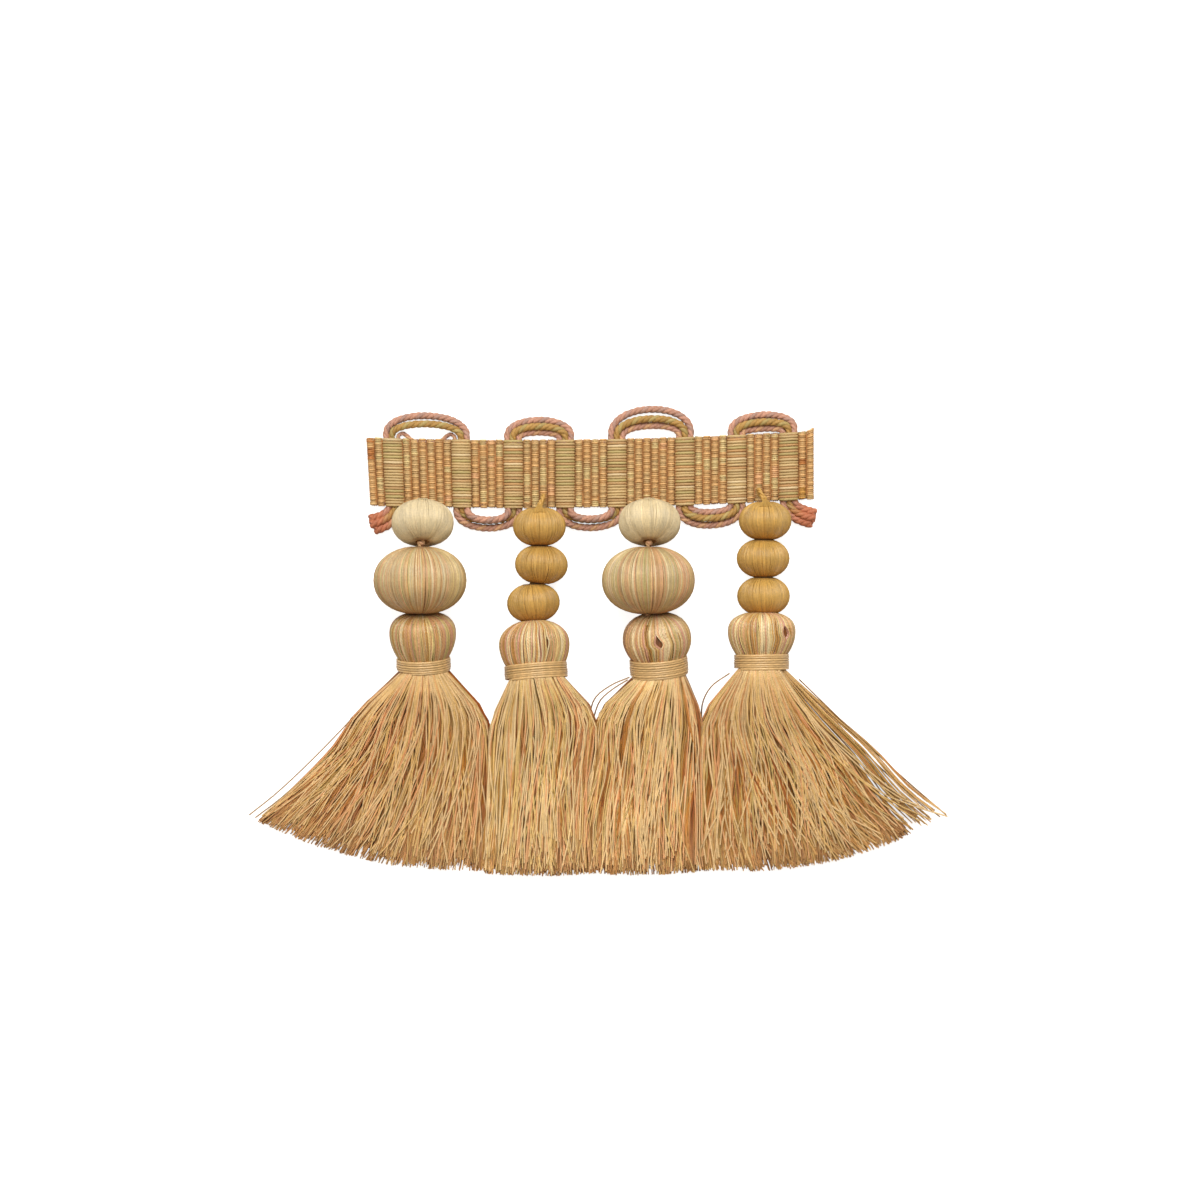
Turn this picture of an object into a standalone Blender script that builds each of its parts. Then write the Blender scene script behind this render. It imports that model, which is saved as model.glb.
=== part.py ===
"""A short length of bead tassel fringe, lying on its back.

Metres. X runs along the heading, +Y points to its upper loops and +Z out of its face.
The origin is the middle of the heading's flat back.
"""

import math
import random

import bmesh
import bpy
from mathutils import Matrix, Vector

MM = 0.001
GAP = 0.3 * MM          # air between neighbouring pieces

# Heading
NARROW_RIB = 2.03 * MM
WIDE_RIB = 4.86 * MM
NARROW_RIBS = (2, 6, 4, 4, 4, 6, 4, 4, 2)      # narrow ribs before, between and after the wide ones
CHANNELS = len(NARROW_RIBS) - 1
TAPE_LENGTH = sum(NARROW_RIBS) * NARROW_RIB + CHANNELS * WIDE_RIB
TAPE_HALF = 8.65 * MM
NARROW_CREST = 2.5 * MM
WIDE_CREST = 3.0 * MM
GROOVE = 1.9 * MM
NARROW_SHOULDER = 0.35 * MM
WIDE_SHOULDER = 0.25 * MM
BOW_LOW_X = -18.0 * MM
BOW_LOW_Y = -0.6 * MM
BOW_CURVE = 0.417       # metres of rise for each metre squared along the heading
END_LEAN = 0.5 * MM

# Channels under the wide ribs, and the tuck behind the first scallop
CHANNEL_FLOOR = 0.45 * MM
CHANNEL_ROOF = 2.55 * MM
CHANNEL_MIDDLE = (CHANNEL_FLOOR + CHANNEL_ROOF) / 2
TUCK_DEPTH = 2.0 * MM
TUCK_ROOF = 1.6 * MM
TUCK_STEPS = 4
STITCH_HOLE = 0.95 * MM
STITCH_HOLE_ROUND = 10

# Gimp cords, three side by side
LANE = 1.34 * MM
CORD_PRESSED = 0.5 * MM
CORD_ROUND = 0.75 * MM
LOOP_STEPS = 8
CUT_END_STEPS = 4
LOOP_SPREAD = 0.6 * MM      # how far a scallop bellies out past its feet
SETTLE = 0.6                # how soon a cord leaves its channel's level: less is sooner

# Height of a cord's middle over its loop: side by side, or with the inner cord over the middle one
CORD_HEIGHTS = {
    "flat": {"outer": 0.85 * MM, "middle": 2.1 * MM, "inner": 0.85 * MM},
    "stacked": {"outer": 0.85 * MM, "middle": 0.8 * MM, "inner": 2.85 * MM},
}

# Scallops from left to right: side of the heading, and how far each cord rises beyond its edge
LOOPS = (
    {"side": 1, "outer": 5.7 * MM, "middle": 3.6 * MM, "inner": None, "lie": "flat"},
    {"side": -1, "outer": 5.0 * MM, "middle": 3.1 * MM, "inner": 3.0 * MM, "lie": "stacked"},
    {"side": 1, "outer": 4.8 * MM, "middle": 3.2 * MM, "inner": 1.8 * MM, "lie": "flat"},
    {"side": -1, "outer": 5.0 * MM, "middle": 3.0 * MM, "inner": 2.8 * MM, "lie": "stacked"},
    {"side": 1, "outer": 7.1 * MM, "middle": 4.7 * MM, "inner": 3.0 * MM, "lie": "flat"},
    {"side": -1, "outer": 5.2 * MM, "middle": 3.5 * MM, "inner": 2.0 * MM, "lie": "flat"},
    {"side": 1, "outer": 4.6 * MM, "middle": 2.8 * MM, "inner": 1.2 * MM, "lie": "flat"},
)

# The inner cord of the first scallop: from its channel over the edge and into the tuck
TUCKED_STEPS = (
    {"along": 0.0, "rise": 0.0, "height": 1.5, "radius": 0.5},
    {"along": 0.15, "rise": 0.75, "height": 1.3, "radius": 0.5},
    {"along": 0.9, "rise": 1.3, "height": 0.95, "radius": 0.55},
    {"along": 1.9, "rise": 1.0, "height": 0.65, "radius": 0.55},
    {"along": 2.8, "rise": 0.0, "height": 0.6, "radius": 0.55},
    {"along": 4.0, "rise": -1.0, "height": 0.6, "radius": 0.55},
)

# Cords from their channels to their cut ends: the bend's corner and the tip, millimetres
CORDS = (
    {
        "name": "gimp_rose_upper", "lane": -1, "colour": (196, 150, 128), "tip_radius": 0.75 * MM,
        "left_tip": (-55.6, -11.5, 0.85), "left_corner": (-50.9, -10.9, 1.1),
        "right_tip": (56.4, -10.0, 0.85), "right_corner": (51.2, -9.2, 1.1),
    },
    {
        "name": "gimp_gold", "lane": 0, "colour": (186, 151, 96), "tip_radius": 0.55 * MM,
        "left_tip": (-54.9, -13.4, 1.6), "left_corner": (-49.7, -12.1, 1.6),
        "right_tip": (55.9, -11.8, 1.6), "right_corner": (49.8, -10.7, 1.6),
    },
    {
        "name": "gimp_rose_lower", "lane": 1, "colour": (196, 150, 128), "tip_radius": 0.75 * MM,
        "left_tip": (-53.4, -15.1, 0.85), "left_corner": (-48.3, -13.5, 1.1),
        "right_tip": (54.8, -13.6, 0.85), "right_corner": (48.5, -11.9, 1.1),
    },
)

# Yarn-covered beads: equator and half height in millimetres, facets round and from hole to hole
BEAD_KINDS = {
    "cream": {"radius": 7.75, "half": 5.3, "bore": 2.3, "round": 18, "down": 7, "colour": (212, 193, 152)},
    "large": {"radius": 11.6, "half": 8.45, "bore": 2.3, "round": 22, "down": 9, "colour": (190, 158, 110)},
    "gold": {"radius": 6.6, "half": 4.55, "bore": 2.3, "round": 16, "down": 6, "colour": (200, 152, 78)},
}
BEAD_FULLNESS = 2.2     # 2 is an ellipse, more is squarer

RISE_STEPS = (0.4, 0.7, 0.88)       # a string's points between the heading and the first bead

# Heads, bindings and skirts
DOME_FULLNESS = 2.6
DOME_STEPS = (0.9, 0.62, 0.0)       # shares of the dome's height, top to widest
UNDER_STEP = 0.55                   # share of the way from widest to the binding
SOCKET_DEPTH = 3.0 * MM
SOCKET_RADIUS = 2.3 * MM
BINDING_WALL = 0.9 * MM
NECK_CLEARANCE = 0.4 * MM
BINDING_ROUND = 20
BINDING_CROWN = 0.15 * MM
SKIRT_COLUMNS = 9
SKIRT_ROWS = 3
CORNER_ANGLE = math.radians(25)     # where the rows of locks meet the sides of the neck
LOCK_WIDTHS = (0.9, 0.88, 0.86, 0.6)      # at each section, as a share of the lock's room
LOCK_SKEW = 1.0         # columns by which the top row of locks lies over to the right of the lowest
SIDE_HEIGHT = 0.55      # height of the skirt at its sides, as a share of its middle
UNEVEN = 0.2           # share of the last stretch that the shortest lock lacks

# Tassels from left to right, millimetres and degrees. A skirt has a row for each section, neck to tips.
TASSELS = (
    {
        "name": "tassel1", "string": 0.8, "hole_x": -42.0, "hole_y": -7.0, "string_colour": (205, 155, 115),
        "beads": (
            {"name": "cream_bead", "kind": "cream", "x": -42.0, "y": -13.0, "z": 9.4, "tilt": -12, "lean": 0},
            {"name": "large_bead", "kind": "large", "x": -42.6, "y": -27.35, "z": 11.65, "tilt": 0, "lean": 0},
        ),
        "head": {"x": -42.0, "y": -40.75, "z": 9.0, "radius": 8.25, "top": 4.6, "bottom": 5.5,
                 "tilt": 10, "lean": 1.5},
        "binding": {"radius": 6.9, "height": 3.6}, "flare": 7.6, "bulge": 3.6,
        "skirt": (
            {"left_x": -58.5, "left_y": -60.25, "right_x": -27.0, "right_y": -60.75, "height": 9.5},
            {"left_x": -64.5, "left_y": -69.25, "right_x": -26.0, "right_y": -72.75, "height": 7.0},
            {"left_x": -72.75, "left_y": -77.75, "right_x": -26.8, "right_y": -86.25, "height": 5.5},
            {"left_x": -84.25, "left_y": -88.5, "right_x": -27.6, "right_y": -101.0, "height": 4.5},
        ),
    },
    {
        "name": "tassel2", "string": 0.6, "hole_x": -12.9, "hole_y": -5.5, "string_colour": (215, 165, 90),
        "beads": (
            {"name": "gold_bead_1", "kind": "gold", "x": -12.9, "y": -13.9, "z": 6.65, "tilt": 0, "lean": 0},
            {"name": "gold_bead_2", "kind": "gold", "x": -12.4, "y": -23.4, "z": 6.65, "tilt": 0, "lean": -3},
            {"name": "gold_bead_3", "kind": "gold", "x": -14.4, "y": -32.95, "z": 6.65, "tilt": 0, "lean": 5},
        ),
        "head": {"x": -14.2, "y": -43.25, "z": 8.0, "radius": 8.75, "top": 5.2, "bottom": 4.5,
                 "tilt": -3, "lean": 4},
        "binding": {"radius": 8.0, "height": 4.2}, "flare": 8.2, "bulge": 0.5,
        "skirt": (
            {"left_x": -24.6, "left_y": -62.75, "right_x": 0.9, "right_y": -61.25, "height": 12.5},
            {"left_x": -25.1, "left_y": -74.25, "right_x": 0.0, "right_y": -73.75, "height": 10.0},
            {"left_x": -25.9, "left_y": -87.25, "right_x": -1.8, "right_y": -87.25, "height": 8.5},
            {"left_x": -26.8, "left_y": -101.5, "right_x": -1.8, "right_y": -101.75, "height": 7.5},
        ),
    },
    {
        "name": "tassel3", "string": 0.8, "hole_x": 14.4, "hole_y": -7.0, "string_colour": (205, 155, 115),
        "beads": (
            {"name": "cream_bead", "kind": "cream", "x": 14.6, "y": -12.9, "z": 9.4, "tilt": -12, "lean": 0},
            {"name": "large_bead", "kind": "large", "x": 14.3, "y": -27.35, "z": 11.65, "tilt": 0, "lean": 0},
        ),
        "head": {"x": 16.5, "y": -42.25, "z": 8.9, "radius": 8.5, "top": 6.1, "bottom": 4.0,
                 "tilt": 9, "lean": 4},
        "binding": {"radius": 7.4, "height": 4.8}, "flare": 8.0, "bulge": 0.5,
        "skirt": (
            {"left_x": 2.0, "left_y": -60.75, "right_x": 27.0, "right_y": -61.25, "height": 11.5},
            {"left_x": 0.8, "left_y": -73.75, "right_x": 26.4, "right_y": -73.75, "height": 9.5},
            {"left_x": -1.0, "left_y": -87.25, "right_x": 25.9, "right_y": -87.25, "height": 8.0},
            {"left_x": -1.0, "left_y": -101.5, "right_x": 26.3, "right_y": -101.25, "height": 7.0},
        ),
    },
    {
        "name": "tassel4", "string": 0.6, "hole_x": 42.6, "hole_y": -5.5, "string_colour": (215, 165, 90),
        "beads": (
            {"name": "gold_bead_1", "kind": "gold", "x": 43.5, "y": -12.45, "z": 6.65, "tilt": 0, "lean": 0},
            {"name": "gold_bead_2", "kind": "gold", "x": 43.0, "y": -21.85, "z": 6.65, "tilt": 0, "lean": 0},
            {"name": "gold_bead_3", "kind": "gold", "x": 43.1, "y": -31.25, "z": 6.65, "tilt": 0, "lean": 0},
        ),
        "head": {"x": 42.6, "y": -40.35, "z": 7.9, "radius": 8.4, "top": 4.2, "bottom": 5.0,
                 "tilt": 0, "lean": 0},
        "binding": {"radius": 7.0, "height": 4.2}, "flare": 7.7, "bulge": 4.8,
        "skirt": (
            {"left_x": 28.4, "left_y": -61.25, "right_x": 60.5, "right_y": -60.5, "height": 9.5},
            {"left_x": 27.4, "left_y": -73.75, "right_x": 71.25, "right_y": -69.75, "height": 7.0},
            {"left_x": 27.0, "left_y": -87.25, "right_x": 80.25, "right_y": -79.25, "height": 5.5},
            {"left_x": 27.4, "left_y": -101.0, "right_x": 91.0, "right_y": -87.0, "height": 4.5},
        ),
    },
)

HEADING_COLOUR = (193, 153, 105)
HEAD_COLOUR = (193, 150, 99)
BINDING_COLOUR = (194, 158, 108)


def linear(value):
    """A colour channel of 0 to 255 as the linear value that a shader takes."""
    share = value / 255
    return share / 12.92 if share <= 0.04045 else ((share + 0.055) / 1.055) ** 2.4


def yarn_material(name, colour, roughness=0.7):
    material = bpy.data.materials.new(name)
    material.use_nodes = True
    shader = material.node_tree.nodes["Principled BSDF"]
    shader.inputs["Base Color"].default_value = [linear(channel) for channel in colour] + [1.0]
    shader.inputs["Roughness"].default_value = roughness
    shader.inputs["Metallic"].default_value = 0.0
    return material


def add_mesh_object(name, bm, colour, matrix=None, parent=None):
    """Turn a bmesh into an object at a place in the world, smooth but for its sharp edges."""
    bmesh.ops.recalc_face_normals(bm, faces=bm.faces)
    mesh = bpy.data.meshes.new(name)
    bm.to_mesh(mesh)
    bm.free()
    mesh.shade_smooth()
    mesh.set_sharp_from_angle(angle=math.radians(40))
    mesh.materials.append(yarn_material(name, colour))
    obj = bpy.data.objects.new(name, mesh)
    bpy.context.scene.collection.objects.link(obj)
    place(obj, matrix or Matrix.Identity(4), parent)
    return obj


def place(obj, matrix, parent):
    """Put an object at a world place, under a parent that is neither turned nor scaled."""
    if parent:
        obj.parent = parent
        matrix = Matrix.Translation(-parent.location) @ matrix
    obj.location = matrix.to_translation()
    obj.rotation_euler = matrix.to_euler()


def add_tube(name, steps, colour, parent=None):
    """A round cord along steps of (point, radius), closed at both ends."""
    curve = bpy.data.curves.new(name, "CURVE")
    curve.dimensions = "3D"
    curve.bevel_depth = CORD_ROUND
    curve.bevel_resolution = 1
    curve.use_fill_caps = True
    spline = curve.splines.new("POLY")
    spline.points.add(len(steps) - 1)
    origin = parent.location if parent else Vector()
    for spline_point, (point, radius) in zip(spline.points, steps):
        spline_point.co = (*(Vector(point) - origin), 1.0)
        spline_point.radius = radius / CORD_ROUND
    curve.materials.append(yarn_material(name, colour))
    obj = bpy.data.objects.new(name, curve)
    obj.parent = parent
    bpy.context.scene.collection.objects.link(obj)
    return obj


def axis_frame(row):
    """The frame of a turned piece: its Y axis runs up the tassel, tilted and leaning by the row's degrees."""
    place_at = Vector((row["x"], row["y"], row["z"])) * MM
    tilt = Matrix.Rotation(math.radians(row["tilt"]), 4, "X")
    lean = Matrix.Rotation(math.radians(row["lean"]), 4, "Z")
    return Matrix.Translation(place_at) @ lean @ tilt


def mix(start, end, share):
    return start + (end - start) * share


# Heading


def on_tape(along, across):
    """World X and Y of a place on the heading, which bows up to its right and leans at its left end."""
    lean = END_LEAN * max(0.0, -2 * along / TAPE_LENGTH) ** 2
    x = along - lean * across / TAPE_HALF
    y = across + BOW_LOW_Y + BOW_CURVE * (along - BOW_LOW_X) ** 2
    return x, y


def rib_rows():
    """Left edge, width and kind of each rib, from left to right."""
    rows = []
    left = -TAPE_LENGTH / 2
    for group, count in enumerate(NARROW_RIBS):
        for _ in range(count):
            rows.append({"left": left, "width": NARROW_RIB, "wide": False})
            left += NARROW_RIB
        if group < CHANNELS:
            rows.append({"left": left, "width": WIDE_RIB, "wide": True})
            left += WIDE_RIB
    return rows


def channel_centres():
    return [row["left"] + row["width"] / 2 for row in rib_rows() if row["wide"]]


def heading_profile():
    """The heading's face in section: places along it, their heights, and where a channel starts."""
    points = []
    for row in rib_rows():
        shoulder = WIDE_SHOULDER if row["wide"] else NARROW_SHOULDER
        crest = WIDE_CREST if row["wide"] else NARROW_CREST
        points.append({"along": row["left"], "height": GROOVE, "channel": False})
        points.append({"along": row["left"] + shoulder, "height": crest, "channel": row["wide"]})
        points.append({"along": row["left"] + row["width"] - shoulder, "height": crest, "channel": False})
    points.append({"along": TAPE_LENGTH / 2, "height": GROOVE, "channel": False})
    return points


def heading_mesh():
    """Columns of the section's steps side by side, hollow under each wide rib."""
    profile = heading_profile()
    bm = bmesh.new()
    stacks = []
    for index, point in enumerate(profile):
        heights = [0.0, point["height"]]
        if point["channel"] or profile[index - 1]["channel"]:
            heights[1:1] = [CHANNEL_FLOOR, CHANNEL_ROOF]
        stack = {}
        for side in (-1, 1):
            x, y = on_tape(point["along"], side * TAPE_HALF)
            stack[side] = [bm.verts.new((x, y, height)) for height in heights]
        stacks.append(stack)
    for index, point in enumerate(profile[:-1]):
        here, there = stacks[index], stacks[index + 1]
        bm.faces.new((here[-1][0], here[1][0], there[1][0], there[-1][0]))
        bm.faces.new((here[-1][-1], there[-1][-1], there[1][-1], here[1][-1]))
        for side in (-1, 1):
            if point["channel"]:
                bm.faces.new((here[side][0], there[side][0], there[side][1], here[side][1]))
                bm.faces.new((here[side][2], there[side][2], there[side][3], here[side][3]))
            else:
                bm.faces.new(there[side] + here[side][::-1])
        if point["channel"]:
            bm.faces.new((here[-1][1], there[-1][1], there[1][1], here[1][1]))
            bm.faces.new((here[-1][2], here[1][2], there[1][2], there[-1][2]))
            bm.faces.new((here[-1][1], here[1][1], here[1][2], here[-1][2]))
            bm.faces.new((there[-1][1], there[-1][2], there[1][2], there[1][1]))
    bm.faces.new(stacks[0][1] + stacks[0][-1][::-1])
    bm.faces.new(stacks[-1][-1] + stacks[-1][1][::-1])
    return bm


def tuck_and_holes():
    """The cutter: the tuck behind the first scallop, and a stitch hole for each tassel's string."""
    bm = bmesh.new()
    centres = channel_centres()
    start = centres[0] + WIDE_RIB / 2
    end = centres[1] - WIDE_RIB / 2
    rings = []
    for step in range(TUCK_STEPS + 1):
        along = mix(start, end, step / TUCK_STEPS)
        corners = ((-TUCK_DEPTH, -MM), (MM, -MM), (MM, TUCK_ROOF), (-TUCK_DEPTH, TUCK_ROOF))
        rings.append([bm.verts.new((*on_tape(along, TAPE_HALF + across), height)) for across, height in corners])
    join_rings(bm, rings)
    bm.faces.new(rings[0])
    bm.faces.new(rings[-1])
    for tassel in TASSELS:
        x, y = stitch_place(tassel)
        bmesh.ops.create_cone(
            bm, cap_ends=True, segments=STITCH_HOLE_ROUND, radius1=STITCH_HOLE, radius2=STITCH_HOLE,
            depth=4 * WIDE_CREST, matrix=Matrix.Translation((x, y, 0)))
    bmesh.ops.recalc_face_normals(bm, faces=bm.faces)
    mesh = bpy.data.meshes.new("tuck_and_holes")
    bm.to_mesh(mesh)
    bm.free()
    cutter = bpy.data.objects.new("tuck_and_holes", mesh)
    cutter.hide_render = True
    cutter.display_type = "WIRE"
    bpy.context.scene.collection.objects.link(cutter)
    return cutter


def stitch_place(tassel):
    """Where a tassel's string goes through the heading: in the middle of the nearest narrow rib."""
    middles = [row["left"] + row["width"] / 2 for row in rib_rows() if not row["wide"]]
    nearest = min(middles, key=lambda middle: abs(middle - tassel["hole_x"] * MM))
    return on_tape(nearest, tassel["hole_y"] * MM)


def make_heading():
    heading = add_mesh_object("heading_tape", heading_mesh(), HEADING_COLOUR)
    cut = heading.modifiers.new("tuck and holes", "BOOLEAN")
    cut.operation = "DIFFERENCE"
    cut.solver = "EXACT"
    cut.object = tuck_and_holes()


# Gimp cords


def lane_place(lane, channel):
    """Where a cord lies in a channel, as a place along the heading. The cords' order turns round at each loop."""
    turn = 1 if channel % 2 == 0 else -1
    return channel_centres()[channel] + lane * turn * LANE


def loop_steps(lane, index):
    """A cord's points over one scallop, a half ellipse that grows round and settles as it leaves the channels."""
    loop = LOOPS[index]
    side = loop["side"]
    role = {0: "middle", -side: "outer", side: "inner"}[lane]
    start = lane_place(lane, index)
    end = lane_place(lane, index + 1)
    if loop[role] is None:
        return tucked_steps(start, end, side)
    steps = []
    for step in range(LOOP_STEPS + 1):
        angle = math.pi * step / LOOP_STEPS
        swell = math.sin(angle)
        along = mix(start, end, (1 - math.cos(angle)) / 2) - LOOP_SPREAD * math.sin(2 * angle)
        x, y = on_tape(along, side * (TAPE_HALF + loop[role] * swell))
        height = mix(CHANNEL_MIDDLE, CORD_HEIGHTS[loop["lie"]][role], max(swell, 0.0) ** SETTLE)
        steps.append(((x, y, height), mix(CORD_PRESSED, CORD_ROUND, swell)))
    return steps


def tucked_steps(start, end, side):
    """The inner cord of the first scallop, which dips behind the heading between its two ends."""
    steps = []
    for foot, way, rows in ((start, 1, TUCKED_STEPS), (end, -1, TUCKED_STEPS[::-1])):
        for row in rows:
            x, y = on_tape(foot + way * row["along"] * MM, side * (TAPE_HALF + row["rise"] * MM))
            steps.append(((x, y, row["height"] * MM), row["radius"] * MM))
    return steps


def cut_end_steps(cord, which):
    """A cord's points from its cut tip to its first or last channel."""
    channel = 0 if which == "left" else CHANNELS - 1
    along = lane_place(cord["lane"], channel)
    foot = Vector((*on_tape(along, -TAPE_HALF), CHANNEL_MIDDLE))
    tip = Vector(cord[which + "_tip"]) * MM
    corner = Vector(cord[which + "_corner"]) * MM
    steps = []
    for step in range(CUT_END_STEPS + 1):
        share = step / CUT_END_STEPS
        point = mix(mix(tip, corner, share), mix(corner, foot, share), share)
        steps.append((point, mix(cord["tip_radius"], CORD_PRESSED, share)))
    return steps


def make_gimp(cord):
    steps = cut_end_steps(cord, "left")
    for index in range(len(LOOPS)):
        steps += loop_steps(cord["lane"], index)
    steps += cut_end_steps(cord, "right")[::-1]
    add_tube(cord["name"], steps, cord["colour"])


# Turned pieces


def join_rings(bm, rings, closed=False):
    """Quads between neighbouring rings of points."""
    pairs = list(zip(rings, rings[1:]))
    if closed:
        pairs.append((rings[-1], rings[0]))
    for upper, lower in pairs:
        for index in range(len(upper)):
            after = (index + 1) % len(upper)
            bm.faces.new((upper[index], upper[after], lower[after], lower[index]))


def turned_rings(bm, profile, angles):
    """Rings round the Y axis, one for each (radius, height) of the profile."""
    return [
        [bm.verts.new((radius * math.cos(angle), height, radius * math.sin(angle))) for angle in angles]
        for radius, height in profile
    ]


def even_angles(count):
    return [2 * math.pi * index / count for index in range(count)]


def bead_profile(kind):
    """From the upper rim of the hole down the bead's outside to the lower rim."""
    radius, half, bore = kind["radius"] * MM, kind["half"] * MM, kind["bore"] * MM
    power = 2 / BEAD_FULLNESS
    rim = math.acos((bore / radius) ** (1 / power))
    profile = []
    for step in range(kind["down"] + 1):
        angle = mix(rim, -rim, step / kind["down"])
        height = math.copysign(abs(math.sin(angle)) ** power, angle) * half
        profile.append((radius * math.cos(angle) ** power, height))
    return profile


def make_bead(tassel, bead, parent):
    kind = BEAD_KINDS[bead["kind"]]
    bm = bmesh.new()
    rings = turned_rings(bm, bead_profile(kind), even_angles(kind["round"]))
    join_rings(bm, rings, closed=True)
    name = f"{tassel['name']}_{bead['name']}"
    add_mesh_object(name, bm, kind["colour"], axis_frame(bead), parent)


def make_string(tassel, parent):
    """The string from the stitch hole through the beads' holes and into the head."""
    radius = tassel["string"] * MM
    x, y = stitch_place(tassel)
    hole_top = Vector((x, y, NARROW_CREST))
    points = []
    for bead in tassel["beads"]:
        frame = axis_frame(bead)
        kind = BEAD_KINDS[bead["kind"]]
        slack = kind["bore"] * MM - radius - 1.5 * GAP
        for end in (1, -1):
            points.append((frame @ Vector((0, end * kind["half"] * MM, 0)), slack))
    head_frame = axis_frame(tassel["head"])
    top = tassel["head"]["top"] * MM
    points.append((head_frame @ Vector((0, top, 0)), SOCKET_RADIUS - radius - 1.5 * GAP))
    path = [points[0][0]]
    for (upper, upper_slack), (lower, lower_slack) in zip(points[1::2], points[2::2]):
        across = Vector((lower.x - upper.x, 0, lower.z - upper.z))
        if across.length > 0:
            path.append(upper + across.normalized() * min(upper_slack, across.length / 2))
            path.append(lower - across.normalized() * min(lower_slack, across.length / 2))
        else:
            path += [upper, lower]
    path.append(head_frame @ Vector((0, top - SOCKET_DEPTH + GAP * 2, 0)))
    first = path[0]
    rise = Vector((x, y, first.z))
    thin = min(radius, STITCH_HOLE - GAP)
    steps = [(Vector((x, y, GAP)), thin), (hole_top, thin)]
    for share in RISE_STEPS:
        steps.append((mix(mix(hole_top, rise, share), mix(rise, first, share), share), mix(thin, radius, share)))
    steps += [(point, radius) for point in path]
    add_tube(f"{tassel['name']}_string", steps, tassel["string_colour"], parent)


# Heads and skirts


def root_grid():
    """Places of the locks' corners on the end of the neck, on a disc of radius 1."""
    grid = {}
    for column in range(SKIRT_COLUMNS + 1):
        share = column / SKIRT_COLUMNS
        angle = mix(math.pi - CORNER_ANGLE, CORNER_ANGLE, share)
        top = math.sin(angle)
        for row in range(SKIRT_ROWS + 1):
            level = 2 * row / SKIRT_ROWS - 1
            if column in (0, SKIRT_COLUMNS):
                side = math.copysign(1, share - 0.5)
                grid[column, row] = (side * math.cos(CORNER_ANGLE * level), math.sin(CORNER_ANGLE * level))
            else:
                grid[column, row] = (math.cos(angle), top * level)
    return grid


def rim_order():
    """The grid's outer corners, once round."""
    order = [(SKIRT_COLUMNS, row) for row in range(SKIRT_ROWS + 1)]
    order += [(column, SKIRT_ROWS) for column in range(SKIRT_COLUMNS - 1, -1, -1)]
    order += [(0, row) for row in range(SKIRT_ROWS - 1, -1, -1)]
    order += [(column, 0) for column in range(1, SKIRT_COLUMNS)]
    return order


def head_profile(tassel):
    """From the socket's floor over the dome and in at the neck to the skirt's root."""
    head, binding = tassel["head"], tassel["binding"]
    radius, top, bottom = head["radius"] * MM, head["top"] * MM, head["bottom"] * MM
    wrapped = binding["radius"] * MM
    neck = wrapped - BINDING_WALL - NECK_CLEARANCE
    neck_end = -bottom - binding["height"] * MM - 2 * GAP
    profile = [(SOCKET_RADIUS, top - SOCKET_DEPTH), (SOCKET_RADIUS, top)]
    for share in DOME_STEPS:
        profile.append((radius * (1 - share ** DOME_FULLNESS) ** (1 / DOME_FULLNESS), top * share))
    profile.append((mix(radius, wrapped, UNDER_STEP), -UNDER_STEP * bottom))
    profile.append((wrapped, -bottom))
    profile.append((neck, -bottom))
    profile.append((neck, neck_end))
    profile.append((tassel["flare"] * MM, neck_end - GAP))
    return profile


def skirt_point(tassel, column, row, section):
    """World place of a lock's corner at one of the skirt's sections."""
    values = tassel["skirt"][section]
    share = column / SKIRT_COLUMNS
    arch = math.sin(math.pi * share)
    down = ((section + 1) / len(tassel["skirt"])) ** 2
    skew = LOCK_SKEW / SKIRT_COLUMNS * (row / SKIRT_ROWS - 0.5) * arch
    x = mix(values["left_x"], values["right_x"], share + skew)
    y = mix(values["left_y"], values["right_y"], share) - tassel["bulge"] * arch * down
    height = values["height"] * mix(SIDE_HEIGHT, 1.0, arch)
    return Vector((x, y, height * row / SKIRT_ROWS)) * MM


def lock_cells():
    """The grid's squares cut in two, with the cut turned from square to square."""
    for column in range(SKIRT_COLUMNS):
        for row in range(SKIRT_ROWS):
            low_left, low_right = (column, row), (column + 1, row)
            top_right, top_left = (column + 1, row + 1), (column, row + 1)
            if (column + row) % 2:
                yield low_left, low_right, top_right
                yield low_left, top_right, top_left
            else:
                yield low_left, low_right, top_left
                yield low_right, top_right, top_left


def add_lock(bm, tassel, cell, root, to_local, short):
    """One lock of yarn with three sides, from its share of the neck to its tip."""
    ring = [root[corner] for corner in cell]
    sections = len(tassel["skirt"])
    before = None
    for section in range(sections):
        corners = [skirt_point(tassel, *corner, section) for corner in cell]
        if section == sections - 1:
            corners = [mix(corner, start, short) for corner, start in zip(corners, before)]
        before = corners
        middle = sum(corners, Vector()) / 3
        width = LOCK_WIDTHS[section]
        corners = [mix(middle, corner, width) for corner in corners]
        if section > 0 and any(row == 0 for _, row in cell):
            drop = Vector((0, 0, min(corner.z for corner in corners)))
            corners = [corner - drop for corner in corners]
        after = [bm.verts.new(to_local @ corner) for corner in corners]
        for index in range(3):
            following = (index + 1) % 3
            bm.faces.new((ring[index], ring[following], after[following], after[index]))
        ring = after
    bm.faces.new(ring)


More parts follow.
